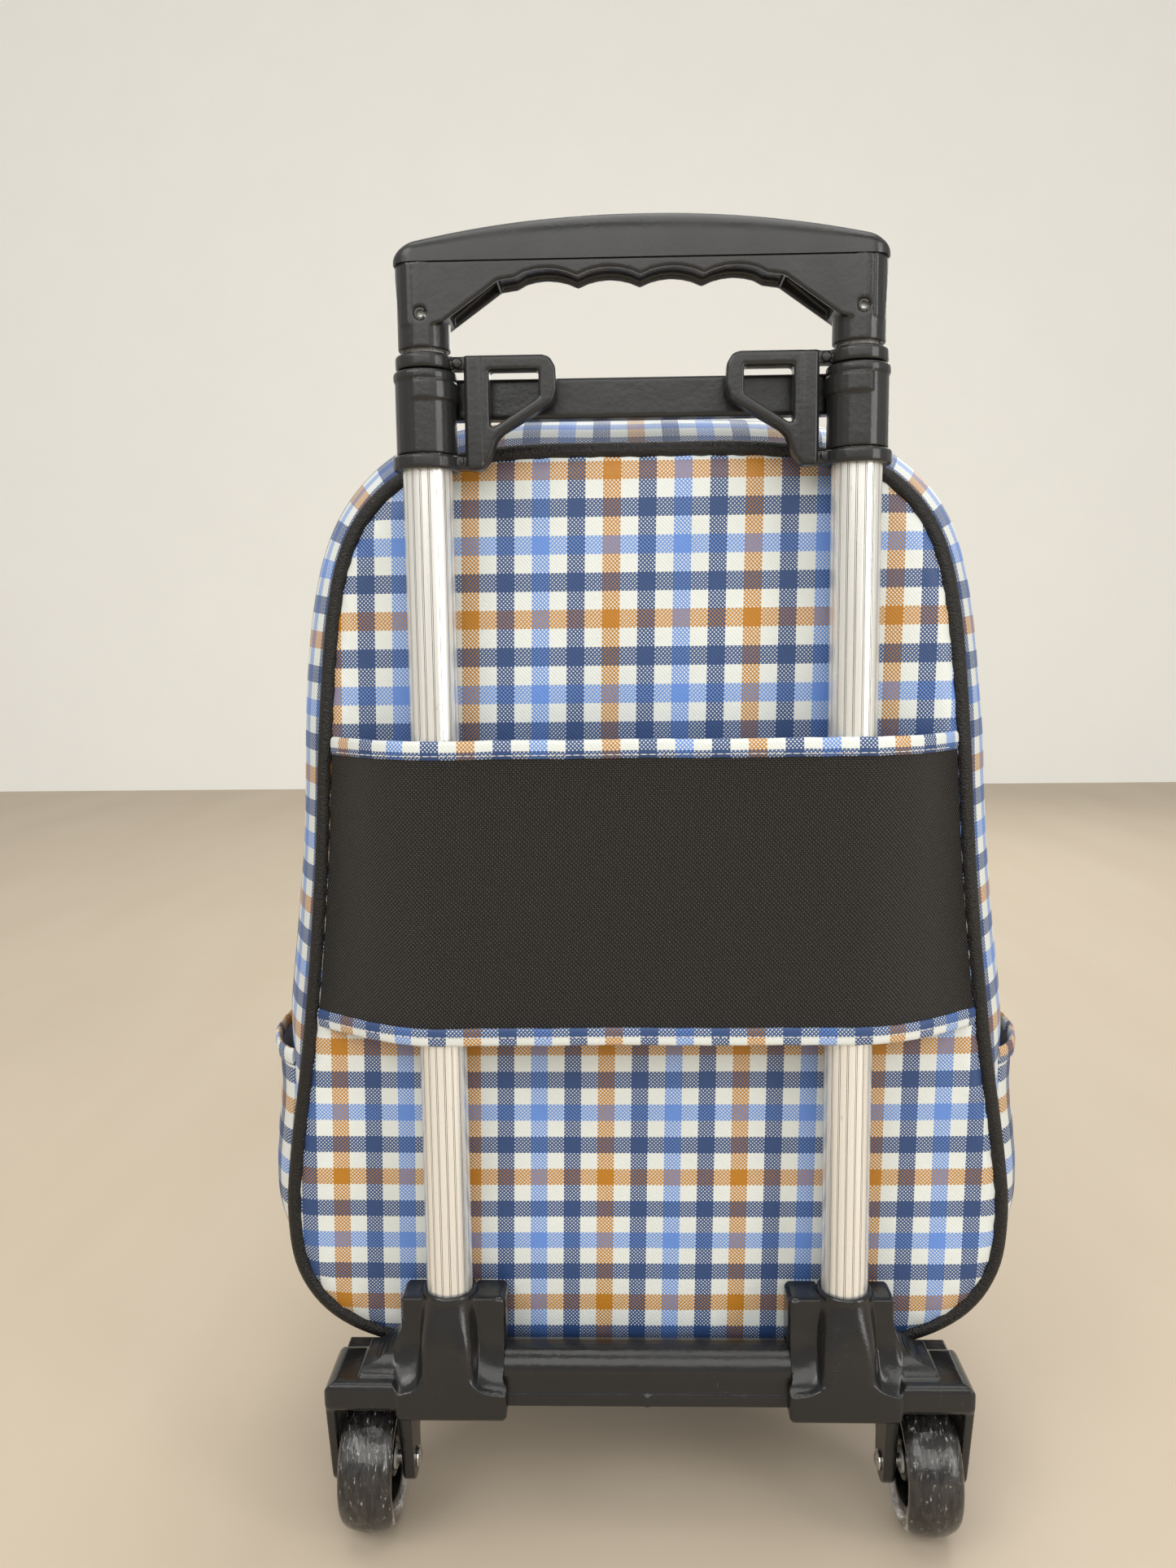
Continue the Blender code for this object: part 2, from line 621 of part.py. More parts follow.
def front_stand():
    """The fixed front support: two tapering legs under the platform, joined by a rail."""
    rail = box("front_stand", (-74, 74), (STAND_Y[0] + 3, STAND_Y[1] - 3), (44.0, 53.7))
    bevel(rail, 1.5, 2)
    for side in (-1, 1):
        outline = [(side * 60, 53.69), (side * 88, 53.69), (side * 83, 7), (side * 67, 7)]
        leg = prism("leg", outline, STAND_Y[0], STAND_Y[1] - STAND_Y[0], "Y")
        bevel(leg, 1.8, 2)
        join(rail, leg)
    return rail


def foot_pad(side):
    x = side * 75.0
    pad = box("foot_pad", (x - 9, x + 9), (STAND_Y[0] - 1, STAND_Y[1] + 1), (0.0, 6.7))
    bevel(pad, 1.5, 2)
    return pad


def tyre(side):
    """The soft tyre with its rounded tread, on a rim that stands out around the hub."""
    half = WHEEL_HALF_X
    tread = [(half * math.cos(a), math.sin(a)) for a in (math.radians(d) for d in range(0, 181, 30))]
    profile = [(HUB_R + GAP, -half + 1.2), (HUB_R + GAP + 1.0, -half)]
    crown = WHEEL_R - 24.5
    profile += [(24.5 + crown * up, -across) for across, up in tread]
    profile += [(HUB_R + GAP + 1.0, half), (HUB_R + GAP, half - 1.2)]
    return turned("tyre", profile, (side * WHEEL_X, 0, WHEEL_R), axis="X", steps=36)


def hub(side):
    """The dark wheel core, dished on both sides around its boss."""
    bore = AXLE_R + 2.2 + GAP
    profile = [
        (bore, -9.5), (8.0, -9.5), (8.8, -4.5), (17.2, -4.5), (18.0, -9.8), (HUB_R, -9.8),
        (HUB_R, 9.8), (18.0, 9.8), (17.2, 4.5), (8.8, 4.5), (8.0, 9.5), (bore, 9.5),
    ]
    return turned("hub", profile, (side * WHEEL_X, 0, WHEEL_R), axis="X", steps=24)


def wheel_bush(side):
    profile = [(AXLE_R + 0.1, -10.2), (AXLE_R + 2.2, -10.2), (AXLE_R + 2.2, 10.2), (AXLE_R + 0.1, 10.2)]
    return turned("wheel_bush", profile, (side * WHEEL_X, 0, WHEEL_R), axis="X", steps=16)


def axle(side):
    """The riveted axle, with a domed head on each face of the fork."""
    inner, outer = 102.5 - GAP, HOOD_OUT_X + GAP
    profile = [
        (0, inner - 1.8), (2.4, inner - 1.6), (4.3, inner - 0.6), (4.4, inner), (AXLE_R, inner),
        (AXLE_R, outer), (4.4, outer), (4.3, outer + 0.6), (2.4, outer + 1.6), (0, outer + 1.8),
    ]
    if side < 0:
        profile = [(r, -x) for r, x in profile]
    return turned("axle", profile, (0, 0, WHEEL_R), axis="X", steps=16)


# ---------------------------------------------------------------- bag


def bag_ring(y, grow, steps=1):
    """The bag's outline at a depth, grown outwards at the sides and top. The base stays level."""
    half = smooth_line(BAG_OUTLINE, steps)
    ring = []
    for i, (x, z) in enumerate(half):
        before = half[max(i - 1, 0)]
        after = half[min(i + 1, len(half) - 1)]
        along = Vector((after[0] - before[0], after[1] - before[1])).normalized()
        out = Vector((-along.y, along.x))
        down = 0.15 if out.y < 0 < grow else 1.0
        x_share = 0.0 if i in (0, len(half) - 1) else out.x
        rise = min(1.0, max(0.0, (z - BELLY_Z[0]) / (BELLY_Z[1] - BELLY_Z[0])))
        belly = BELLY_SHARE + (1 - BELLY_SHARE) * rise if grow > 0 else 1.0
        ring.append((x + grow * x_share * belly, z + grow * out.y * down))
    return [(x, y, z) for x, z in mirror_outline(ring)]


def bag_back_panel():
    """The padded rear panel, inside the rear piping."""
    rings = [bag_ring(y, -PIPING_R - GAP) for y in PANEL_Y]
    return loft("bag_back_panel", rings, True, True)


def bag_sides():
    """The long side strip that makes the bag's left, top, right and base."""
    sides = loft("bag_sides", [bag_ring(y, grow) for y, grow in SIDE_SECTIONS])
    thicken(sides, SHELL)
    return sides


def bag_front_shell():
    shell = loft("bag_front", [bag_ring(y, grow) for y, grow in FRONT_SECTIONS], closed_end=True)
    thicken(shell, SHELL)
    return shell


def bag_front_lower():
    """The fixed lower front of the bag."""
    front = bag_front_shell()
    cut(front, box("above", (-250, 250), (100, 260), (FLAP_HINGE_Z - 0.5, 600)))
    return front


def bag_flap():
    """The upper front, which the zip frees so that it folds forward."""
    flap = bag_front_shell()
    cut(flap, box("below", (-250, 250), (100, 260), (0, FLAP_HINGE_Z + 0.5)))
    return flap


def rear_piping():
    """The round welting around the back panel."""
    return tube_along("rear_piping", bag_ring(PIPING_Y, 0.0), PIPING_R, cyclic=True)


def band_path(clear):
    """The plan line of the sleeve band: from the bag, over the outsides of both tubes, and back to the bag."""
    radius = TUBE_R + clear
    right = [(136.5, PANEL_Y[0] - 0.9 - clear)]
    right += [(TUBE_X + a, b) for a, b in arc((0, 0), radius, -22, -90, 6)]
    return [(-x, y) for x, y in right] + [(x, y) for x, y in reversed(right)]


def band_strip(name, low, high, inner, outer):
    near = band_path(inner)
    far = band_path(outer)
    return prism(name, near + far[::-1], low, high - low, "Z")


def sleeve_band():
    return band_strip("sleeve_band", BAND_Z[0] + BINDING, BAND_Z[1] - BINDING, BAND_CLEAR, BAND_CLEAR + 1.6)


def sleeve_binding(upper):
    low = BAND_Z[1] - BINDING + GAP if upper else BAND_Z[0]
    return band_strip("binding", low, low + BINDING - GAP, BAND_CLEAR, BAND_CLEAR + 2.2)


def side_pocket(side):
    """A patch pocket on the bag's side: a bowed wall on a floor, open at the top."""
    low, high = POCKET_Z

    def line(z, extra):
        fill = min(1.0, (z - low) / 30 + 0.6)
        points = []
        for i in range(9):
            share = i / 8
            y = POCKET_Y[0] + (POCKET_Y[1] - POCKET_Y[0]) * share
            stand = POCKET_DEPTH * math.sin(math.pi * share) ** 0.5 * fill
            points.append((side * (side_x(y, z) + POCKET_CLEAR + stand + extra), y))
        return points

    rings = []
    for z in (low, 109, 121, 135, 150, 165, 184, high):
        ring = line(z, 1.4) + line(z, 0.0)[::-1]
        rings.append([(x, y, z) for x, y in ring])
    wall = loft("side_pocket", rings, True, True)
    base = [(side * (side_x(y, low) + POCKET_CLEAR + 0.3), y) for x, y in line(low, 0)]
    inside = base[1:-1] + line(low + 1, 0.7)[::-1][1:-1]
    join(wall, prism("floor", inside, low + 0.6, 1.6, "Z"))
    return wall


def side_x(y, z):
    """Half width of the bag at a depth and height."""
    grow = SIDE_SECTIONS[-1][1]
    for (y0, g0), (y1, g1) in zip(SIDE_SECTIONS, SIDE_SECTIONS[1:]):
        if y0 <= y <= y1:
            grow = g0 + (g1 - g0) * (y - y0) / (y1 - y0)
    ring = bag_ring(y, grow)
    right = [p for p in ring if p[0] > 60]
    for a, b in zip(right, right[1:]):
        if min(a[2], b[2]) <= z <= max(a[2], b[2]):
            share = (z - a[2]) / (b[2] - a[2] or 1)
            return a[0] + (b[0] - a[0]) * share
    return right[-1][0]


def front_pocket():
    """The zipped pocket on the lower front, softly domed."""
    low, high, half = 92.0, 220.0, 112.0
    rings = []
    for y, inset in ((190.8, 0.0), (203.0, 1.0), (209.0, 5.0), (POCKET_FRONT_Y, 16.0)):
        outline = []
        for cx, cz, start in ((half - 24, high - 24, 0), (-half + 24, high - 24, 90),
                              (-half + 24, low + 24, 180), (half - 24, low + 24, 270)):
            outline += arc((cx, cz), 24 - inset, start, start + 90, 5)
        rings.append([(x, y, z) for x, z in outline])
    return loft("front_pocket", rings, True, True)


def pocket_zip_slider():
    """The front pocket's zip slider with its pull tab hanging."""
    x, y, z = -78.0, POCKET_FRONT_Y + 0.5, 205.0
    slider = box("zip_slider", (x - 4, x + 4), (y, y + 3.6), (z - 5, z + 5))
    bevel(slider, 1.0, 2)
    tab = box("tab", (x - 2.4, x + 2.4), (y + 1.2, y + 3.0), (z - 24, z - 4))
    bevel(tab, 0.7, 1)
    join(slider, tab)
    return slider


def main_zip_slider(side):
    """One of the two sliders that meet over the top of the bag, with its pull tab lying outwards."""
    top = BAG_OUTLINE[0][1] + SIDE_SECTIONS[-1][1] + 0.5
    slider = box("zip_slider", sorted((side * 2, side * 12)), (ZIP_Y - 4, ZIP_Y + 4), (top, top + 3.6))
    bevel(slider, 1.0, 2)
    tab = box("tab", sorted((side * 11, side * 31)), (ZIP_Y - 2.4, ZIP_Y + 2.4), (top + 1.0, top + 2.8))
    bevel(tab, 0.7, 1)
    join(slider, tab)
    return slider


def base_board():
    """The stiff board that keeps the bag's base flat."""
    board = box("base_board", (-108, 108), (34, 138), (79.5, 82.5))
    bevel(board, 1.0, 1)
    return board


# ---------------------------------------------------------------- assembly


def colours():
    return {
        "plastic": material("black_plastic", BLACK, 0.38),
        "nylon": material("nylon", (0.55, 0.55, 0.52), 0.5),
        "aluminium": material("bright_aluminium", (0.78, 0.77, 0.74), 0.28, 1.0),
        "steel": material("plated_steel", (0.62, 0.61, 0.59), 0.25, 1.0),
        "clear": material("clear_tyre", (0.34, 0.32, 0.31), 0.12),
        "core": material("hub_black", (0.02, 0.02, 0.02), 0.45),
        "rubber": material("foot_rubber", (0.03, 0.03, 0.03), 0.8),
        "plaid": material("checked_cloth", (0.45, 0.48, 0.6), 0.5),
        "leather": material("black_leatherette", (0.02, 0.018, 0.017), 0.42),
        "lining": material("base_board_grey", (0.2, 0.2, 0.21), 0.7),
    }


def paired(build, name, mat, parent, pivot=None):
    """Makes the left and the right copy of a piece, on one parent or on one for each side."""
    for side, word in ((-1, "left"), (1, "right")):
        holder = parent[word] if isinstance(parent, dict) else parent
        at = pivot(side) if pivot else None
        finish_node(build(side), f"{name}_{word}", mat, holder, at)


def assemble_frame(root, mats):
    paired(outer_tube, "outer_tube", mats["aluminium"], root)
    paired(upper_socket, "upper_socket", mats["plastic"], root)
    finish_node(upper_crossbar(), "upper_crossbar", mats["plastic"], root)
    paired(cradle_screw, "crossbar_screw", mats["steel"], root)
    paired(wheel_housing, "wheel_housing", mats["plastic"], root)
    finish_node(lower_crossbar(), "lower_crossbar", mats["plastic"], root)
    paired(axle, "axle", mats["steel"], root)
    finish_node(platform(), "platform", mats["plastic"], root)
    paired(hinge_pin, "platform_hinge_pin", mats["steel"], root)
    finish_node(front_stand(), "front_stand", mats["plastic"], root)
    paired(foot_pad, "foot_pad", mats["rubber"], root)


def wheel_pivot(side):
    return (side * WHEEL_X, 0, WHEEL_R)


def tube_pivot(side):
    return (side * TUBE_X, 0, HOOK_BOTTOM)


def assemble_moving(root, mats):
    paired(tyre, "tyre", mats["clear"], root, wheel_pivot)
    paired(hub, "wheel_hub", mats["core"], root, wheel_pivot)
    paired(wheel_bush, "wheel_bush", mats["nylon"], root, wheel_pivot)
    paired(hook, "hook", mats["plastic"], root, tube_pivot)
    handle = (0, 0, SEAM_Z)
    finish_node(grip_body(), "handle_grip", mats["plastic"], root, handle)
    finish_node(top_cover(), "handle_top_cover", mats["plastic"], root, handle)
    paired(roll_pin, "handle_roll_pin", mats["steel"], root)
    paired(inner_tube, "inner_tube", mats["aluminium"], root)
    paired(slide_bush, "slide_bush", mats["nylon"], root)
    paired(detent_spring, "detent_spring", mats["steel"], root)
    paired(detent_button, "detent_button", mats["steel"], root)


def assemble_bag(root, mats):
    flap_pivot = (0, FLAP_HINGE_Y, FLAP_HINGE_Z)
    finish_node(bag_back_panel(), "bag_back_panel", mats["plaid"], root)
    finish_node(bag_sides(), "bag_sides", mats["plaid"], root)
    finish_node(bag_front_lower(), "bag_front_lower", mats["plaid"], root)
    finish_node(bag_flap(), "bag_flap", mats["plaid"], root, flap_pivot)
    finish_node(rear_piping(), "rear_piping", mats["leather"], root)
    finish_node(sleeve_band(), "sleeve_band", mats["leather"], root)
    finish_node(sleeve_binding(True), "sleeve_binding_top", mats["plaid"], root)
    finish_node(sleeve_binding(False), "sleeve_binding_bottom", mats["plaid"], root)
    paired(side_pocket, "side_pocket", mats["plaid"], root)
    finish_node(front_pocket(), "front_pocket", mats["plaid"], root)
    finish_node(base_board(), "base_board", mats["lining"], root)
    finish_node(pocket_zip_slider(), "pocket_zip_slider", mats["steel"], root)
    paired(main_zip_slider, "main_zip_slider", mats["steel"], root)


def main():
    clear_scene()
    root = bpy.data.objects.new("trolley_frame", None)
    root.location.y = TUBE_FRAME_Y * MM
    bpy.context.scene.collection.objects.link(root)
    mats = colours()
    assemble_frame(root, mats)
    assemble_moving(root, mats)
    assemble_bag(root, mats)


main()
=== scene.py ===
import json
import math
from contextlib import contextmanager

import bmesh
import bpy
import numpy as np
from mathutils import Matrix, Vector, noise
from mathutils.bvhtree import BVHTree


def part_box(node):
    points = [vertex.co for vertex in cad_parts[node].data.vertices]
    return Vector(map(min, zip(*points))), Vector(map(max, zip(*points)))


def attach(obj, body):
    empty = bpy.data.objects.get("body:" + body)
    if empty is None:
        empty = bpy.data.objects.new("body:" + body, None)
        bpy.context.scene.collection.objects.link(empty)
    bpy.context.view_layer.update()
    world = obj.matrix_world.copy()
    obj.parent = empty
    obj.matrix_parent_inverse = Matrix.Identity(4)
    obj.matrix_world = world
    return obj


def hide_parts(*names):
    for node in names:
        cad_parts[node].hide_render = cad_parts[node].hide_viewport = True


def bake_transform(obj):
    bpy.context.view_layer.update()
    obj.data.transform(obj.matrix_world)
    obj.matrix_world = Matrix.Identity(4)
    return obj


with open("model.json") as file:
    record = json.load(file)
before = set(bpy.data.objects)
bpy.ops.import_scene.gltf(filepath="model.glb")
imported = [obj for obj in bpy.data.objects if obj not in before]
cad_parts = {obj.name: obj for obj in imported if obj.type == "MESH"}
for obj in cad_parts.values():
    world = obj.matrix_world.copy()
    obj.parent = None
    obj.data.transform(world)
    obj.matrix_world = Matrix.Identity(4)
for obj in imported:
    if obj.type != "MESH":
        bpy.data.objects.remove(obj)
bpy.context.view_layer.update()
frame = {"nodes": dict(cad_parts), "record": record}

MM = 0.001
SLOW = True
SIDES = {-1: "left", 1: "right"}

# ---------------------------------------------------------------- places, read from the frame

TUBE_LOW, TUBE_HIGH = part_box("outer_tube_right")
TUBE_Y = (TUBE_LOW.y + TUBE_HIGH.y) / 2          # the plane of the two tubes, in metres
TUBE_X = (TUBE_LOW.x + TUBE_HIGH.x) / 2 / MM
TUBE_R = (TUBE_HIGH.x - TUBE_LOW.x) / 2 / MM
TUBE_Z = (TUBE_LOW.z / MM, TUBE_HIGH.z / MM)
WHEEL_LOW, WHEEL_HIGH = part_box("tyre_right")
WHEEL_R = (WHEEL_HIGH.z - WHEEL_LOW.z) / 2 / MM
WHEEL_X = (WHEEL_LOW.x + WHEEL_HIGH.x) / 2 / MM
WHEEL_HALF_X = (WHEEL_HIGH.x - WHEEL_LOW.x) / 2 / MM
COVER_LOW, COVER_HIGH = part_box("handle_top_cover")
BAND_LOW, BAND_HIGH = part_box("sleeve_binding_bottom")[0].z / MM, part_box("sleeve_binding_top")[1].z / MM
HINGE_Z = (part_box("bag_flap")[0].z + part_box("bag_front_lower")[1].z) / 2 / MM
POCKET_LOW, POCKET_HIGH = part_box("side_pocket_right")
FRONT_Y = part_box("bag_flap")[1].y / MM - TUBE_Y / MM

# ---------------------------------------------------------------- the bag's driving dimensions, in mm

PIPING_R = 3.5
PIPING_Y = 18.2
ZIP_Y = 150.0
BELLY_Z = (170.0, 225.0)
BELLY_SHARE = 0.6
CHECK = (7.37, 7.62)           # width and height of one check of the cloth
BINDING = 8.0
# Right half of the rear seam, from the middle of the top down to the middle of the base
BAG_OUTLINE = [
    (0, 469), (55, 468.3), (91, 462), (110, 450), (123, 431), (130.5, 402), (135.5, 355), (140, 290),
    (147.5, 220), (155.5, 165), (158, 135), (154.5, 109), (141, 89.5), (117, 77.5), (89, 72.6), (0, 71.5),
]
# Depth of each section, and how far it stands out from the rear seam's line
SIDE_SECTIONS = [
    (19.6, -1.0), (22.0, 1.2), (32.0, 10.0), (48.0, 17.0), (70.0, 21.5), (98.0, 23.0), (126.0, 21.0),
    (149.8, 16.0),
]
BAG_MIDDLE_Z = 260.0
PANEL_MIDDLE_Z = 255.0
BACK_INSET = 2.2               # from the rear seam's line to the edge of the back panel
FRONT_INSET = 5.6              # from the rear seam's line to the edge of the front panels
BACK_ORANGE = (-12.9, 399.8)   # where an orange stripe crosses another, on the back and on the front
FRONT_ORANGE = (5.0, 331.0)
BACK_SLANT = 0.0188            # how far the back's stripes lean, as a share of height
BACK_BOW = -3.0                # how far they bow
FRONT_SECTIONS = [(150.2, 15.8), (160.0, 13.4), (168.0, 10.5), (176.0, 6.6), (182.0, 1.8), (185.5, -3.0)]
SEAM_COUNT = 300               # points around the bag
AROUND = 2 * math.pi


# ---------------------------------------------------------------- materials


class Shade:
    """A Principled material and short ways to add nodes to it."""

    def __init__(self, name, **values):
        self.mat = bpy.data.materials.new(name)
        self.mat.use_nodes = True
        self.tree = self.mat.node_tree
        self.bsdf = self.tree.nodes["Principled BSDF"]
        for key, value in values.items():
            self.bsdf.inputs[key.replace("_", " ")].default_value = value

    def add(self, kind, inputs=(), **props):
        node = self.tree.nodes.new(kind)
        for key, value in props.items():
            setattr(node, key, value)
        for key, value in dict(inputs).items():
            self.put(node.inputs[key], value)
        return node

    def put(self, socket, value):
        if isinstance(value, bpy.types.NodeSocket):
            self.tree.links.new(value, socket)
        else:
            socket.default_value = value

    def math(self, operation, a, b=0.0, c=0.0):
        return self.add("ShaderNodeMath", {0: a, 1: b, 2: c}, operation=operation).outputs[0]

    def remap(self, value, low, high, to_low, to_high):
        node = self.add("ShaderNodeMapRange", {0: value, 1: low, 2: high, 3: to_low, 4: to_high})
        return node.outputs[0]

    def blend(self, factor, a, b, mode="MIX"):
        node = self.add("ShaderNodeMix", data_type="RGBA", blend_type=mode)
        self.put(node.inputs["Factor"], factor)
        self.put(node.inputs[6], a)
        self.put(node.inputs[7], b)
        return node.outputs[2]

    def place(self, scale=(1, 1, 1)):
        """The piece's own coordinates, in metres, stretched by a scale."""
        here = self.add("ShaderNodeTexCoord").outputs["Object"]
        return self.add("ShaderNodeMapping", {"Vector": here, "Scale": scale}).outputs[0]

    def noise(self, vector, scale, detail=2.0, rough=0.5):
        inputs = {"Vector": vector, "Scale": scale, "Detail": detail, "Roughness": rough}
        return self.add("ShaderNodeTexNoise", inputs).outputs["Fac"]

    def ripple(self, along, turns):
        """A sine wave along a coordinate, with so many turns to one unit of it."""
        return self.math("SINE", self.math("MULTIPLY", along, AROUND * turns))

    def bump(self, height, distance, strength=1.0, before=None):
        node = self.add("ShaderNodeBump", {"Height": height, "Distance": distance, "Strength": strength})
        if before is not None:
            self.put(node.inputs["Normal"], before)
        return node.outputs[0]

    def set(self, name, value):
        self.put(self.bsdf.inputs[name], value)
        return self

    def finish(self, colour, rough, normal):
        """Puts the last looks in place, and gives the material."""
        if rough is not None:
            self.set("Roughness", rough)
        self.set("Base Color", colour).set("Normal", normal)
        return self.mat


def grey(value):
    return (value, value, value, 1)


def toned(colour, share):
    """A colour made darker or lighter by a share."""
    return (*[part * share for part in colour], 1)


def check_coordinates(shade):
    """The cloth's two thread directions, counted in checks."""
    uv = shade.add("ShaderNodeUVMap", uv_map="cloth").outputs[0]
    parts = shade.add("ShaderNodeSeparateXYZ", {0: uv})
    return parts.outputs[0], parts.outputs[1]


ORANGE = (0.495, 0.215, 0.012, 1)
WHITE = (0.735, 0.765, 0.745, 1)
NAVY = (0.030, 0.074, 0.210, 1)
BLUE = (0.145, 0.295, 0.700, 1)
STRIPES = [ORANGE, WHITE, NAVY, WHITE, BLUE, WHITE, NAVY, WHITE]
PALENESS = [grey({ORANGE: 0.60, WHITE: 1.0, NAVY: 0.0, BLUE: 0.42}[stripe]) for stripe in STRIPES]
DOTS = 9                       # printed dots to a check
INK_SOAK = 0.16                # how far the two inks stain each other
INK_THINNING = 1.27            # how much paler the two inks are where they stain each other
INK_SPREAD = 0.36              # how much further the darker ink runs than the paler


def by_stripe(shade, along, values):
    """The value of the stripe that a thread direction is in, out of the eight that repeat."""
    ramp = shade.add("ShaderNodeValToRGB")
    ramp.color_ramp.interpolation = "CONSTANT"
    stops = ramp.color_ramp.elements
    while len(stops) < len(values):
        stops.new(0.5)
    for i, value in enumerate(values):
        stops[i].position = i / len(values)
        stops[i].color = value
    shade.put(ramp.inputs[0], shade.math("FRACT", shade.math("MULTIPLY", along, 1 / len(values))))
    return ramp.outputs[0]


def checked_cloth():
    """Coated cloth printed with a woven check. Where two stripes cross, fine dots of both mix."""
    shade = Shade("checked_cloth")
    u, v = check_coordinates(shade)
    one, two = by_stripe(shade, u, STRIPES), by_stripe(shade, v, STRIPES)
    paler = shade.math("SUBTRACT", by_stripe(shade, v, PALENESS), by_stripe(shade, u, PALENESS))
    crossing = shade.math("MULTIPLY", shade.ripple(u, DOTS / 2), shade.ripple(v, DOTS / 2))
    dots = shade.math("GREATER_THAN", crossing, shade.math("MULTIPLY", paler, INK_SPREAD))
    soaked = shade.blend(1.0, shade.blend(1.0, one, two, "MULTIPLY"), grey(INK_THINNING), "MULTIPLY")
    colour = shade.blend(INK_SOAK, shade.blend(dots, one, two), soaked)
    here = shade.place()
    broad = shade.remap(shade.noise(here, 14.0, 3.0), 0.3, 0.7, 0.93, 1.03)
    dimmed = shade.add("ShaderNodeCombineColor", {0: broad, 1: broad, 2: broad}).outputs[0]
    rough = shade.remap(shade.noise(here, 60.0, 2.0), 0.3, 0.7, 0.40, 0.52)
    twill = shade.math("MULTIPLY", shade.ripple(shade.math("ADD", u, v), DOTS / 2), 0.35)
    relief = shade.math("ADD", twill, shade.noise(here, 1500.0, 2.0, 0.6))
    slubs = shade.bump(shade.noise(here, 220.0, 2.0), 0.0006, 0.14)
    normal = shade.bump(relief, 0.00016, 0.55, slubs)
    return shade.finish(shade.blend(1.0, colour, dimmed, "MULTIPLY"), rough, normal)


GRAIN_TO_CHECK = 4.1           # dashes of the leatherette's grain to the length of a check


def leatherette():
    """Black coated cloth with a fine crossing grain of small raised dashes."""
    shade = Shade("leatherette", Specular_IOR_Level=0.45)
    u, v = check_coordinates(shade)
    waves = [shade.ripple(shade.math(way, u, v), GRAIN_TO_CHECK / 2) for way in ("ADD", "SUBTRACT")]
    ridge = shade.math("MULTIPLY", *[shade.math("ABSOLUTE", wave) for wave in waves])
    here = shade.place()
    rough = shade.remap(shade.noise(here, 24.0, 3.0), 0.3, 0.7, 0.30, 0.42)
    grain = shade.math("ADD", ridge, shade.math("MULTIPLY", shade.noise(here, 2500.0, 2.0), 0.35))
    # The raised dashes are coloured lighter than the ground between them: painted highlight on the ridges and
    # painted shade between them.
    colour = shade.blend(ridge, (0.0020, 0.0017, 0.0014, 1), (0.0340, 0.0300, 0.0265, 1))
    return shade.finish(colour, rough, shade.bump(grain, 0.0006, 1.0))


def piping_skin():
    """Black welting with a pebbled grain drawn along the cord."""
    shade = Shade("piping_skin", Specular_IOR_Level=0.4)
    here = shade.place()
    pebbles = shade.add("ShaderNodeTexVoronoi", {"Vector": here, "Scale": 1300.0}).outputs["Distance"]
    creases = shade.noise(here, 420.0, 3.0, 0.6)
    colour = shade.blend(pebbles, (0.0110, 0.0100, 0.0090, 1), (0.0040, 0.0036, 0.0032, 1))
    height = shade.math("ADD", shade.math("MULTIPLY", pebbles, -0.7), creases)
    return shade.finish(colour, shade.remap(creases, 0.3, 0.7, 0.34, 0.52), shade.bump(height, 0.0006, 0.8))


def black_plastic(name="black_plastic", tint=(0.0145, 0.0148, 0.0152), gloss=0.27):
    """Satin moulded plastic: a faint orange peel, flow marks and small pale scuffs."""
    shade = Shade(name, Specular_IOR_Level=0.52)
    here = shade.place()
    flow = shade.noise(shade.place((1.0, 1.0, 0.35)), 38.0, 4.0, 0.55)
    strokes = shade.noise(shade.place((1.0, 3.0, 0.12)), 1100.0, 1.0)
    crossing = shade.noise(shade.place((0.12, 1.0, 2.2)), 900.0, 1.0)
    one_way = shade.remap(strokes, 0.70, 0.80, 0.0, 1.0)
    other_way = shade.remap(crossing, 0.72, 0.82, 0.0, 1.0)
    patches = shade.remap(shade.noise(here, 26.0, 2.0), 0.50, 0.66, 0.0, 1.0)
    marks = shade.math("MULTIPLY", shade.math("MAXIMUM", one_way, other_way), patches)
    base = shade.blend(flow, toned(tint, 0.80), toned(tint, 1.30))
    colour = shade.blend(shade.math("MULTIPLY", marks, 0.5), base, grey(0.10))
    rough = shade.remap(flow, 0.3, 0.7, gloss - 0.05, gloss + 0.10)
    rough = shade.math("ADD", rough, shade.math("MULTIPLY", marks, 0.2))
    peel = shade.bump(shade.noise(here, 520.0, 2.0), 0.00022, 0.35)
    return shade.finish(colour, rough, shade.bump(shade.noise(here, 95.0, 2.0), 0.0009, 0.22, peel))


def bright_aluminium(name="bright_aluminium", painted_shade_factor=1.0):
    """Drawn aluminium: long streaks along the tube and a few short dark nicks."""
    shade = Shade(name, Metallic=0.62)
    streaks = shade.noise(shade.place((1.0, 1.0, 0.006)), 2600.0, 3.0, 0.65)
    broad = shade.noise(shade.place((1.0, 1.0, 0.02)), 420.0, 2.0)
    nicks = shade.remap(shade.noise(shade.place((1.0, 1.0, 0.3)), 700.0, 1.0), 0.74, 0.80, 0.0, 1.0)
    # A painted shade factor below 1 darkens the metal as painted shade, for faces in shadow such as the tube's
    # grooves.
    tone = shade.blend(streaks, toned((0.86, 0.85, 0.81), painted_shade_factor), toned((0.97, 0.965, 0.93), painted_shade_factor))
    colour = shade.blend(shade.math("MULTIPLY", nicks, 0.35), tone, (0.40, 0.39, 0.36, 1))
    return shade.finish(colour, shade.remap(broad, 0.3, 0.7, 0.20, 0.38), shade.bump(streaks, 0.00012, 0.35))


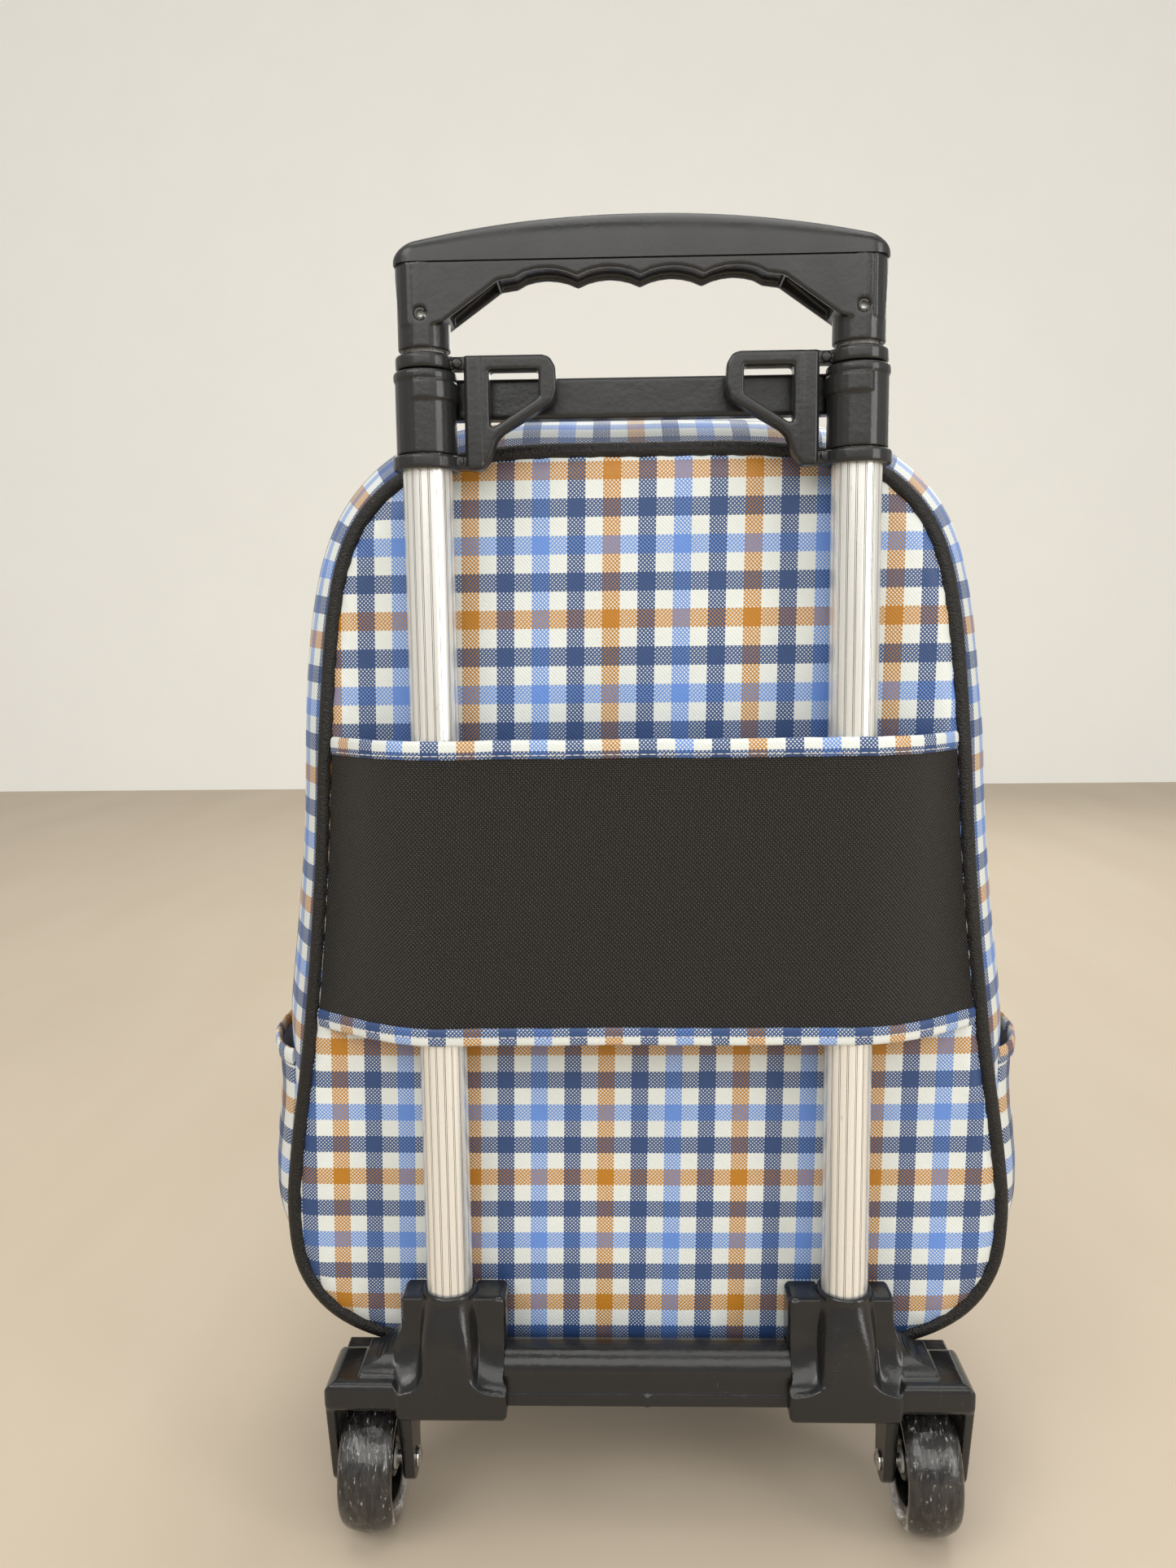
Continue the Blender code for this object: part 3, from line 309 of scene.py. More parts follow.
def plated_steel(name="plated_steel", painted_shade_factor=1.0):
    shade = Shade(name, Metallic=1.0)
    here = shade.place()
    cloud = shade.noise(here, 380.0, 3.0)
    # A painted shade factor below 1 darkens the steel as painted shade, for the roll pins sitting in shaded
    # holes.
    colour = shade.blend(cloud, toned((0.42, 0.41, 0.39), painted_shade_factor), toned((0.72, 0.71, 0.68), painted_shade_factor))
    normal = shade.bump(shade.noise(here, 1600.0, 2.0), 0.0001, 0.4)
    return shade.finish(colour, shade.remap(cloud, 0.3, 0.7, 0.18, 0.38), normal)


def clear_tyre():
    """Clear, slightly smoky polyurethane, with streaks and milky flecks drawn out across the tread."""
    shade = Shade("clear_tyre", IOR=1.47)
    here = shade.place()
    streaky = shade.noise(shade.place((3.2, 1.0, 1.0)), 130.0, 4.0, 0.6)
    smoke = shade.remap(streaky, 0.44, 0.56, 0.0, 1.0)
    flecks = shade.noise(shade.place((3.0, 1.0, 1.0)), 330.0, 3.0, 0.6)
    shade.set("Transmission Weight", shade.remap(flecks, 0.60, 0.70, 0.98, 0.62))
    colour = shade.blend(smoke, (0.42, 0.40, 0.39, 1), (0.93, 0.91, 0.89, 1))
    normal = shade.bump(shade.noise(here, 700.0, 2.0), 0.0004, 0.15, shade.bump(streaky, 0.0012, 0.35))
    return shade.finish(colour, shade.remap(streaky, 0.45, 0.75, 0.01, 0.05), normal)


def speckled(name, dark, light, specks, grain, depth, strength, **values):
    """A plain material mottled between two tones, with a fine relief."""
    shade = Shade(name, **values)
    here = shade.place()
    colour = shade.blend(shade.noise(here, *specks), dark, light)
    return shade.finish(colour, None, shade.bump(shade.noise(here, *grain), depth, strength))


def woven(name, dark, light, per_check):
    """A plain weave of single threads, for tape, lining and thread."""
    shade = Shade(name)
    u, v = check_coordinates(shade)
    weave = shade.math("MULTIPLY", shade.ripple(u, per_check), shade.ripple(v, per_check))
    fuzz = shade.noise(shade.place(), 900.0, 3.0)
    mix = shade.math("ADD", shade.math("MULTIPLY", weave, 0.3), fuzz)
    return shade.finish(shade.blend(mix, dark, light), 0.75, shade.bump(mix, 0.0003, 0.7))


PLAID = checked_cloth()
LEATHER = leatherette()
PIPING = piping_skin()
PLASTIC = black_plastic()
SATIN = black_plastic("base_plastic", (0.0105, 0.0105, 0.0110), 0.19)
CORE = black_plastic("wheel_core", (0.004, 0.004, 0.0045), 0.24)
ALUMINIUM = bright_aluminium()
# Aluminium darkened as painted shade, for the shade inside the tube's grooves.
GROOVE_PAINTED_SHADE = bright_aluminium("groove_painted_shade", 0.36)
STEEL = plated_steel()
# Steel darkened as painted shade, for the roll pins in their shaded holes.
PIN_PAINTED_SHADE_STEEL = plated_steel("pin_painted_shade_steel", 0.10)
CLEAR = clear_tyre()
RUBBER = speckled(
    "foot_rubber", grey(0.016), grey(0.050), (260.0, 4.0), (1400.0, 3.0), 0.0003, 0.6, Roughness=0.75,
)
NYLON = speckled(
    "nylon", (0.62, 0.61, 0.56, 1), (0.78, 0.77, 0.72, 1), (120.0, 2.0), (1500.0, 2.0), 0.0001, 0.4,
    Roughness=0.4, Subsurface_Weight=0.1,
)
LINING = woven("lining", (0.16, 0.165, 0.18, 1), (0.30, 0.305, 0.32, 1), 5.0)
TAPE = woven("zip_tape", (0.012, 0.013, 0.018, 1), (0.035, 0.037, 0.046, 1), 9.0)
THREAD = woven("white_thread", (0.62, 0.61, 0.58, 1), (0.86, 0.85, 0.82, 1), 16.0)
BOARD = speckled(
    "grey_board", grey(0.12), grey(0.24), (300.0, 4.0), (900.0, 3.0), 0.0002, 0.5, Roughness=0.8,
)
CARRIED = {
    "black_plastic": PLASTIC, "nylon": NYLON, "aluminium": ALUMINIUM, "plated_steel": STEEL,
    "clear_tyre": CLEAR, "wheel_core": CORE, "foot_rubber": RUBBER, "checked_cloth": PLAID,
    "leatherette": LEATHER, "lining_board": BOARD,
}

# ---------------------------------------------------------------- building helpers


def spot(x, y, z):
    """A point in millimetres, measured from the tubes' plane, as a place in the frame."""
    return Vector((x * MM, y * MM + TUBE_Y, z * MM))


def new_object(name, data):
    obj = bpy.data.objects.new(name, data)
    bpy.context.scene.collection.objects.link(obj)
    return obj


def new_piece(name, mesh, mats, body, node=None):
    """A piece of a slot's material, which rides on a body and stands for a node where they are given."""
    obj = new_object(name, mesh)
    for mat in mats:
        mesh.materials.append(mat)
    if body:
        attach(obj, body)
    if node:
        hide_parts(node)
    return obj


def bake_modifiers(obj):
    graph = bpy.context.evaluated_depsgraph_get()
    graph.update()
    mesh = bpy.data.meshes.new_from_object(obj.evaluated_get(graph))
    obj.modifiers.clear()
    obj.data = mesh
    return obj


@contextmanager
def opened(mesh):
    """A mesh opened for changes, which are written back to it."""
    bm = bmesh.new()
    bm.from_mesh(mesh)
    yield bm
    bm.to_mesh(mesh)
    bm.free()


def weld(mesh):
    """Joins points that lie in the same place."""
    with opened(mesh) as bm:
        bmesh.ops.remove_doubles(bm, verts=bm.verts, dist=1e-6)


def face_outwards(mesh):
    with opened(mesh) as bm:
        bmesh.ops.recalc_face_normals(bm, faces=bm.faces)


def turn_faces(mesh, score):
    """Turns an open sheet over, unless its faces score above nothing together."""
    with opened(mesh) as bm:
        bmesh.ops.recalc_face_normals(bm, faces=bm.faces)
        if sum(score(face) * face.calc_area() for face in bm.faces) < 0:
            bmesh.ops.reverse_faces(bm, faces=bm.faces)


def face_towards(*direction):
    """A function that turns an open sheet's faces towards a direction."""
    return lambda mesh: turn_faces(mesh, lambda face: face.normal.dot(Vector(direction)))


def face_from_axis(mesh):
    """Turns the faces of a skin around the bag outwards."""
    middle = Vector((0, 0, BAG_MIDDLE_Z * MM))
    turn_faces(mesh, lambda face: face.normal.dot((face.calc_center_median() - middle) * Vector((1, 0, 1))))


def smooth_shade(mesh, crease):
    """Smooth shading, with a hard edge where faces meet at more than a crease angle in degrees."""
    mesh.shade_smooth()
    mesh.set_sharp_from_angle(angle=math.radians(crease))


def grid_mesh(name, points, checks=None, closed=False, capped=False, smooth=60):
    """A skin over rows of points in millimetres. Where rows close, the checks hold one more column."""
    points = np.asarray(points, float)
    rows, columns = points.shape[:2]
    flat = [spot(*p) for p in points.reshape(-1, 3)]
    span = columns if closed else columns - 1
    faces, corners = [], []
    for r in range(rows - 1):
        for c in range(span):
            d = (c + 1) % columns
            faces.append((r * columns + c, r * columns + d, (r + 1) * columns + d, (r + 1) * columns + c))
            corners.append(((r, c), (r, c + 1), (r + 1, c + 1), (r + 1, c)))
    if capped:
        for r, order in ((0, -1), (rows - 1, 1)):
            faces.append([r * columns + c for c in range(columns)][::order])
            corners.append([(r, c) for c in range(columns)][::order])
    mesh = bpy.data.meshes.new(name)
    mesh.from_pydata(flat, [], faces)
    if checks is not None:
        layer = mesh.uv_layers.new(name="cloth")
        checks = np.asarray(checks, float)
        values = np.array([checks[r][c] for face in corners for r, c in face], np.float32)
        layer.data.foreach_set("uv", values.ravel())
    mesh.validate()
    if smooth:
        smooth_shade(mesh, smooth)
    else:
        mesh.shade_smooth()
    return mesh


def solid_grid(name, rows):
    """A closed solid between rings of points, which a moulding is grown from or cut by."""
    mesh = grid_mesh(name, rows, closed=True, capped=True, smooth=None)
    face_outwards(mesh)
    return mesh


def lathe_mesh(name, profile, centre, axis="Z", steps=72, smooth=35):
    """A closed profile of (radius, height) points turned about an axis through a centre, in millimetres."""
    rows = []
    for i in range(steps):
        angle = AROUND * i / steps
        row = []
        for radius, height in profile:
            a, b = radius * math.cos(angle), radius * math.sin(angle)
            offset = {"Z": (a, b, height), "X": (height, a, b), "Y": (a, height, b)}[axis]
            row.append([c + o for c, o in zip(centre, offset)])
        rows.append(row)
    rows.append(rows[0])
    mesh = grid_mesh(name, rows, closed=True, smooth=None)
    weld(mesh)
    face_outwards(mesh)
    smooth_shade(mesh, smooth)
    return mesh


def rounded(profile, radius, steps=3):
    """A closed profile with its corners rounded off."""
    made = []
    count = len(profile)
    for i, corner in enumerate(profile):
        here = Vector(corner)
        before = Vector(profile[i - 1]) - here
        after = Vector(profile[(i + 1) % count]) - here
        reach = min(radius, before.length * 0.45, after.length * 0.45)
        start = here + before.normalized() * reach
        end = here + after.normalized() * reach
        for step in range(steps + 1):
            t = step / steps
            made.append(tuple(start * (1 - t) ** 2 + here * 2 * t * (1 - t) + end * t * t))
    return made


def arc(centre, radius, start, end, steps):
    """Points on a circle, with the angles in degrees."""
    angles = [math.radians(start + (end - start) * i / steps) for i in range(steps + 1)]
    return [(centre[0] + radius * math.cos(a), centre[1] + radius * math.sin(a)) for a in angles]


def block_mesh(xs, ys, zs):
    """A plain closed block that a moulding is grown from."""
    bm = bmesh.new()
    bmesh.ops.create_cube(bm, size=1.0)
    low, high = spot(min(xs), min(ys), min(zs)), spot(max(xs), max(ys), max(zs))
    bmesh.ops.scale(bm, vec=high - low, verts=bm.verts)
    bmesh.ops.translate(bm, vec=(low + high) / 2, verts=bm.verts)
    mesh = bpy.data.meshes.new("block")
    bm.to_mesh(mesh)
    bm.free()
    return mesh


MOULDING_KEEP = 0.35           # share of a moulding's faces that is kept


def moulded(node, body, mat, voxel, soften, extra=(), hollows=(), press=None):
    """A soft-edged moulding, grown from a node's own solid with blocks added, hollows cut or a face pressed."""
    bm = bmesh.new()
    bm.from_mesh(frame["nodes"][node].data)
    bmesh.ops.remove_doubles(bm, verts=bm.verts, dist=1e-6)
    for mesh in extra:
        bm.from_mesh(mesh)
    mesh = bpy.data.meshes.new(node)
    bm.to_mesh(mesh)
    bm.free()
    mesh.materials.clear()
    obj = new_piece(f"{node}_moulding", mesh, [mat], None, node)
    cutters = []
    for number, hollow in enumerate(hollows):
        cutters.append(new_object(f"hollow_{number}", hollow))
        cut = obj.modifiers.new(f"cut_{number}", "BOOLEAN")
        cut.operation = "DIFFERENCE"
        cut.object = cutters[-1]
    grown = obj.modifiers.new("grow", "REMESH")
    grown.mode = "VOXEL"
    grown.voxel_size = voxel * MM * (1.0 if SLOW else 1.5)
    soft = obj.modifiers.new("soften", "SMOOTH")
    soft.factor = 0.5
    soft.iterations = soften
    bake_modifiers(obj)
    if press:
        press(obj.data)
    fewer = obj.modifiers.new("fewer", "DECIMATE")
    fewer.ratio = MOULDING_KEEP
    bake_modifiers(obj)
    for cutter in cutters:
        bpy.data.objects.remove(cutter)
    obj.data.materials.clear()
    obj.data.materials.append(mat)
    obj.data.shade_smooth()
    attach(obj, body)


def subdivide(obj, levels=1):
    modifier = obj.modifiers.new("fine", "SUBSURF")
    modifier.levels = levels
    modifier.render_levels = levels
    return bake_modifiers(obj)


def thicken(obj, thickness, offset=-1.0, lined=False):
    """Gives a sheet its thickness, on its inner side unless told otherwise. A lined sheet is grey inside."""
    modifier = obj.modifiers.new("thickness", "SOLIDIFY")
    modifier.thickness = thickness * MM
    modifier.offset = offset
    if lined:
        modifier.material_offset = 1
    return bake_modifiers(obj)


def reach_along(line):
    """Running length at each point of a line."""
    return np.concatenate([[0], np.cumsum(np.linalg.norm(np.diff(line, axis=0), axis=1))])


def place_at(line, reach, length):
    """The place or places at a running length along a line, one row to a direction."""
    return np.array([np.interp(length, reach, line[:, k]) for k in range(line.shape[1])])


def eased(share):
    """A share from 0 to 1 that starts and ends gently."""
    return share * share * (3 - 2 * share)


def soft_curve(a, b, c, d, t):
    """A smooth curve from b to c that takes its directions from its neighbours a and d."""
    bend, twist = 2 * a - 5 * b + 4 * c - d, 3 * b - a - 3 * c + d
    return 0.5 * (2 * b + (c - a) * t + bend * t ** 2 + twist * t ** 3)


def lined_piece(name, mesh, node, body, turn, thickness, fine=False, cut=None):
    """A piece of checked cloth lined with grey. A function turns its faces, and its edge may be cut."""
    obj = new_piece(name, mesh, [PLAID, LINING], None, node)
    if fine:
        subdivide(obj)
    if cut:
        cut_above(obj, *cut)
    turn(obj.data)
    thicken(obj, thickness, lined=True)
    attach(obj, body)
    return obj


def wave(x, y, z, size):
    """Smooth noise from -1 to 1 at a place in millimetres, with features of a size."""
    return noise.noise(Vector((x, y, z)) / size)


def sweep_mesh(name, line, section, closed=False, checks=(0, 0), up=(0, 0, 1)):
    """A section of (out, up) points carried along a line of points, both in millimetres."""
    line = np.asarray(line, float)
    count = len(line)
    before = np.roll(line, 1, 0)
    after = np.roll(line, -1, 0)
    if not closed:
        before[0], after[-1] = line[0], line[-1]
    along = after - before
    along /= np.linalg.norm(along, axis=1)[:, None]
    upward = np.tile(np.asarray(up, float), (count, 1)) if np.ndim(up) == 1 else np.asarray(up, float)
    out = np.cross(along, upward)
    out /= np.linalg.norm(out, axis=1)[:, None]
    upward = np.cross(out, along)
    rows = [[p + o * a + w * b for a, b in section] for p, o, w in zip(line, out, upward)]
    girth = reach_along(np.array([*section, section[0]], float)) / CHECK[0] + checks[1]
    coordinates = [[(s, g) for g in girth] for s in reach_along(line) / CHECK[0] + checks[0]]
    if closed:
        rows.append(rows[0])
        step = float(np.linalg.norm(line[0] - line[-1])) / CHECK[0]
        coordinates.append([(u + step, v) for u, v in coordinates[-1]])
    mesh = grid_mesh(name, rows, coordinates, closed=True, capped=not closed)
    if closed:
        weld(mesh)
    face_outwards(mesh)
    return mesh


def merged(name, meshes):
    bm = bmesh.new()
    for mesh in meshes:
        bm.from_mesh(mesh)
        bpy.data.meshes.remove(mesh)
    made = bpy.data.meshes.new(name)
    bm.to_mesh(made)
    bm.free()
    return made


def stitches(name, line, normals, body, pitch=3.6, length=2.9, thick=0.38):
    """A row of thread stitches lying along a line, each a small rounded loop that dips in at its ends."""
    reach = reach_along(line)
    vertices, faces, coordinates = [], [], []
    steps, sides = 5, 6
    for number in range(int(reach[-1] / pitch)):
        start = number * pitch + 0.3
        base = len(vertices)
        for i in range(steps + 1):
            s = start + length * i / steps
            centre = place_at(line, reach, s)
            normal = place_at(normals, reach, s)
            normal /= np.linalg.norm(normal)
            along = place_at(line, reach, s + 0.4) - centre
            along /= np.linalg.norm(along) + 1e-9
            side = np.cross(along, normal)
            bend = math.sin(math.pi * i / steps)
            radius = thick / 2 * (0.45 + 0.55 * bend ** 0.5)
            middle = centre + normal * (0.55 * thick * bend - 0.10)
            for k in range(sides):
                angle = AROUND * k / sides
                turned = side * math.cos(angle) + normal * math.sin(angle)
                vertices.append(spot(*(middle + turned * radius)))
        for i in range(steps):
            for k in range(sides):
                a, b = base + i * sides + k, base + i * sides + (k + 1) % sides
                faces.append((a, b, b + sides, a + sides))
        faces.append([base + k for k in range(sides)][::-1])
        faces.append([base + steps * sides + k for k in range(sides)])
    mesh = bpy.data.meshes.new(name)
    mesh.from_pydata(vertices, [], faces)
    layer = mesh.uv_layers.new(name="cloth")
    places = np.array([mesh.vertices[l.vertex_index].co for l in mesh.loops])
    layer.data.foreach_set("uv", (places[:, [0, 2]] / MM / CHECK[0]).astype(np.float32).ravel())
    mesh.validate()
    face_outwards(mesh)
    mesh.shade_smooth()
    return new_piece(name, mesh, [THREAD], body)


# ---------------------------------------------------------------- the bag's form


def smooth_closed(points, count):
    """Evenly spaced points on a smooth closed curve, with their outward normals and running lengths."""
    points = np.asarray(points, float)
    a, b, c, d = np.roll(points, 1, 0), points, np.roll(points, -1, 0), np.roll(points, -2, 0)
    fine = []
    for t in np.linspace(0, 1, 24, endpoint=False):
        fine.append(soft_curve(a, b, c, d, t))
    fine = np.stack(fine, 1).reshape(-1, 2)
    closed = np.vstack([fine, fine[:1]])
    reach = reach_along(closed)
    spots = np.linspace(0, reach[-1], count, endpoint=False)
    line = place_at(closed, reach, spots).T
    along = np.roll(line, -1, 0) - np.roll(line, 1, 0)
    along /= np.linalg.norm(along, axis=1)[:, None]
    outward = np.stack([along[:, 1], -along[:, 0]], 1)
    return line, outward, spots, reach[-1]


WHOLE_OUTLINE = BAG_OUTLINE[::-1] + [(-x, z) for x, z in BAG_OUTLINE[1:-1]]
SEAM, SEAM_OUT, SEAM_S, SEAM_LENGTH = smooth_closed(WHOLE_OUTLINE, SEAM_COUNT)


def bag_line(grow):
    """The bag's outline at a distance from the rear seam. It bellies out less below, on a level base."""
    share = np.ones(len(SEAM))
    if grow > 0:
        rise = np.clip((SEAM[:, 1] - BELLY_Z[0]) / (BELLY_Z[1] - BELLY_Z[0]), 0, 1)
        share = BELLY_SHARE + (1 - BELLY_SHARE) * eased(rise)
    level = np.where((SEAM_OUT[:, 1] < 0) & (grow > 0), 0.15, 1.0)
    return SEAM + grow * np.stack([share, level], 1) * SEAM_OUT


def smooth_sections(sections, steps):
    """More sections between the given ones, on a smooth curve."""
    padded = [sections[0]] + list(sections) + [sections[-1]]
    made = []
    for p, q, r, s in zip(padded, padded[1:], padded[2:], padded[3:]):
        for step in range(steps):
            made.append([soft_curve(a, b, c, d, step / steps) for a, b, c, d in zip(p, q, r, s)])
    made.append(list(sections[-1]))
    return made


def cloth_give(x, y, z, amount):
    """How far soft cloth stands in or out at a place: broad slack and a few soft folds."""
    broad = wave(x, y, z, 90.0) * 1.2
    folds = wave(x + 40, y * 2.2, z * 0.8, 34.0) * 0.55
    return (broad + folds) * amount


TOP_PHASE = 0.5 - (SEAM_LENGTH / 2 + 1.5) / CHECK[0]      # puts an orange stripe at the middle of the top
EDGE_PHASE = 1.32                                         # puts a navy stripe beside the rear welting


def bag_skin(name, sections, steps, phase, give, back_off):
    """A skin around the bag over its sections, calm and puckered at its two seams."""
    rows, coordinates = [], []
    fine = smooth_sections(sections, steps)
    path = 0.0
    last = None
    for number, (y, grow) in enumerate(fine):
        line = bag_line(grow)
        if last is not None:
            path += math.dist(last, (y, grow))
        last = (y, grow)
        calm = max(0.0, min(1.0, (number - 1) / 4, (len(fine) - 1 - number) / 4))
        row = []
        for (x, z), (nx, nz), s in zip(line, SEAM_OUT, SEAM_S):
            level = 0.1 if nz < -0.6 else 1.0
            pucker = 0.30 * math.sin(AROUND * s / 9.5 + 2.0 * wave(s, 3.0, 1.0, 30.0)) * (1 - calm) * level
            out = cloth_give(x, y, z, give * calm) * level + pucker
            row.append((x + nx * out, back_off(y, z), z + nz * out))
        rows.append(row)
        columns = np.append(SEAM_S, SEAM_LENGTH) / CHECK[0] + phase[0]
        coordinates.append([(u, path / CHECK[0] + phase[1]) for u in columns])
    return grid_mesh(name, rows, coordinates, closed=True)


def cut_above(obj, z, keep_low):
    """Cuts a skin level at a height and keeps one part of it."""
    with opened(obj.data) as bm:
        bmesh.ops.bisect_plane(
            bm, geom=bm.verts[:] + bm.edges[:] + bm.faces[:], plane_co=(0, 0, z * MM), plane_no=(0, 0, 1),
            clear_outer=keep_low, clear_inner=not keep_low,
        )


PANEL_SHARES = [(i / 46) ** 1.7 for i in range(47)]       # rings from a panel's edge to its middle


def panel_rows(inset, surface):
    """Rings of a flat-cut panel from its edge to its middle, with the depth that a surface function gives."""
    edge = bag_line(-inset)
    middle = np.array([0.0, PANEL_MIDDLE_Z])
    rows = []
    for share in PANEL_SHARES:
        ring = edge * (1 - share) + middle * share
        rows.append([(x, surface(x, z, share, s), z) for (x, z), s in zip(ring, SEAM_S)])
    return rows


def straight_checks(rows, centre, slant=0.0, bow=0.0):
    """Cloth coordinates straight across and up a panel, from the place of an orange stripe's middle."""
    made = []
    for row in rows:
        ring = []
        for x, _, z in list(row) + [row[0]]:
            sag = bow * math.sin(math.pi * min(1.0, max(0.0, (z - 95.0) / 305.0)))
            across = x - centre[0] - (z - centre[1]) * slant
            ring.append((across / CHECK[0] + 0.5, (z - centre[1] - sag) / CHECK[1] + 0.5))
        made.append(ring)
    return made


def size_of(line):
    """Width and height of an outline, with its seam allowance."""
    return [float(np.ptp(line[:, k])) + 4.0 for k in range(2)]


def back_panel():
    def surface(x, z, share, s):
        tuck = 2.6 * max(0.0, 1 - share / 0.045) ** 2
        crown = 1.3 * (1 - (1 - min(1.0, share / 0.55)) ** 2)
        near_seam = max(0.0, 1 - share / 0.16)
        pucker = 0.45 * near_seam * math.sin(AROUND * s / 11.0 + 3 * wave(s, 0, 0, 25.0))
        slack = 0.9 * wave(x, 0, z, 70.0) + 0.35 * wave(x * 1.6, 9, z * 0.7, 26.0)
        return 14.2 + tuck - crown + (pucker + slack * min(1.0, share / 0.08)) * 0.8

    rows = panel_rows(BACK_INSET, surface)
    mesh = grid_mesh("bag_back", rows, straight_checks(rows, BACK_ORANGE, BACK_SLANT, BACK_BOW), closed=True)
    weld(mesh)
    obj = lined_piece("bag_back", mesh, "bag_back_panel", "frame", face_towards(0, -1, 0), 1.6)
    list(size_of(bag_line(-BACK_INSET)))


ZIP_SET_BACK = 3.6             # from the zip's teeth to the edge of the cloth


def zip_edge(z):
    """How far the cloth keeps from the zip's line at a height: not at all below the flap's hinge."""
    share = min(1.0, max(0.0, (z - HINGE_Z - 2.0) / 8.0))
    return ZIP_SET_BACK * eased(share)


def bag_sides():
    last = SIDE_SECTIONS[-1][0]

    def back_off(y, z):
        share = max(0.0, (y - 120.0) / (last - 120.0))
        return y - zip_edge(z) * share

    mesh = bag_skin("bag_gusset", SIDE_SECTIONS, 4, (TOP_PHASE, EDGE_PHASE), 1.0, back_off)
    obj = lined_piece("bag_gusset", mesh, "bag_sides", "frame", face_from_axis, 1.5, fine=True)
    line_length(bag_line(23.0)) + 30


def line_length(line):
    return float(reach_along(np.vstack([line, line[:1]]))[-1])


def front_surface(x, z, share, s):
    """Depth of the front panel: tucked at its piping, softly crowned, a little slack above."""
    tuck = 2.4 * max(0.0, 1 - share / 0.06) ** 2
    crown = 2.0 * (1 - (1 - min(1.0, share / 0.5)) ** 2)
    slack = 1.0 * wave(x, 40, z, 85.0) + 0.4 * wave(x * 1.4, 50, z * 0.8, 30.0)
    calm = min(1.0, abs(z - HINGE_Z) / 14.0)
    return FRONT_Y - 2.2 - tuck + (crown + slack * min(1.0, share / 0.08)) * calm


def front_shell(part, body, node, keep_low):
    """The bag's front, above or below the flap's hinge: a shaped edge strip and a flat-cut panel."""
    def back_off(y, z):
        return y if keep_low else y + zip_edge(z) * max(0.0, (162.0 - y) / 12.0)

    strip = bag_skin(f"{part}_edge", FRONT_SECTIONS, 3, (TOP_PHASE, 3.4), 0.7, back_off)
    rows = panel_rows(FRONT_INSET, front_surface)
    panel = grid_mesh(f"{part}_panel", rows, straight_checks(rows, FRONT_ORANGE), closed=True)
    weld(panel)
    cut = (HINGE_Z + (-0.5 if keep_low else 0.5), keep_low)
    edge = lined_piece(f"{part}_edge", strip, None, body, face_from_axis, 1.4, fine=True, cut=cut)
    flat = lined_piece(f"{part}_panel", panel, node, body, face_towards(0, 1, 0), 1.4, cut=cut)
    front = bag_line(-FRONT_INSET)
    half = front[front[:, 1] < HINGE_Z] if keep_low else front[front[:, 1] > HINGE_Z]
    around = line_length(bag_line(15.6)) * (0.52 if keep_low else 0.62)
    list(size_of(half))


# ---------------------------------------------------------------- piping, zips and hems


def seam_place(grow, y):
    line = bag_line(grow)
    return np.stack([line[:, 0], np.full(len(line), y), line[:, 1]], 1)


def round_section(radius, sides=12):
    angles = [AROUND * i / sides for i in range(sides)]
    return [(radius * math.cos(angle), radius * math.sin(angle)) for angle in angles]


def rear_piping():
    line = seam_place(0.0, PIPING_Y)
    line = np.array([p + (0, 0.25 * wave(p[0], 5, p[2], 16.0), 0) for p in line])
    mesh = sweep_mesh("rear_welting", line, round_section(PIPING_R, 16), closed=True, up=(0, 1, 0))
    new_piece("rear_welting", mesh, [PIPING], "frame", "rear_piping")


FRONT_PIPING_Y = 187.2
FRONT_PIPING_GROW = -4.4
FRONT_PIPING_R = 2.6


def run_of(line, chosen):
    """The chosen points of a closed line, in order from where their run starts."""
    start = next(i for i in range(len(line)) if chosen[i] and not chosen[i - 1])
    order = np.roll(np.arange(len(line)), -start)
    return line[order[chosen[order]]]


def front_piping(part, body, keep_low):
    """Welting at the front edge, in one length above the flap's hinge and one below."""
    line = seam_place(FRONT_PIPING_GROW, FRONT_PIPING_Y)
    chosen = line[:, 2] < HINGE_Z - 0.6 if keep_low else line[:, 2] > HINGE_Z + 0.6
    section = round_section(FRONT_PIPING_R, 12)
    mesh = sweep_mesh(f"{part}_welting", run_of(line, chosen), section, up=(0, 1, 0))
    new_piece(f"{part}_welting", mesh, [PIPING], body)


def zip_line(grow, y):
    """The zip's line over the top of the bag, from the flap's hinge on one side to the other."""
    line = seam_place(grow, y)
    return line[line[:, 2] > HINGE_Z + 1.5]


TOOTH_PITCH = 2.4
TOOTH_SHAPE = [(-1.25, 0.46, 0.36), (-0.5, 0.60, 0.68), (0.5, 0.60, 0.68), (1.25, 0.46, 0.36)]


ZIP_GROW = 15.9                # how far the teeth stand out from the rear seam's line
TAPE_SECTION = [(-0.35, -3.0), (0.35, -3.0), (0.35, 2.9), (-0.35, 2.9)]


def zip_half(part, body, sign):
    """One side of the main zip: its tape and its row of teeth, on the bag (-1) or on the flap (+1)."""
    line = zip_line(ZIP_GROW - 0.9, ZIP_Y + sign * 3.0)
    tape = sweep_mesh(f"{part}_zip_tape", line, TAPE_SECTION, up=(0, 1, 0))
    new_piece(f"{part}_zip_tape", tape, [TAPE], body)
    run = zip_line(ZIP_GROW, ZIP_Y + sign * 0.9)
    zip_teeth(f"{part}_zip_teeth", run, (0.0, 1.0, 0.0), 0.5 if sign > 0 else 0.0, body)


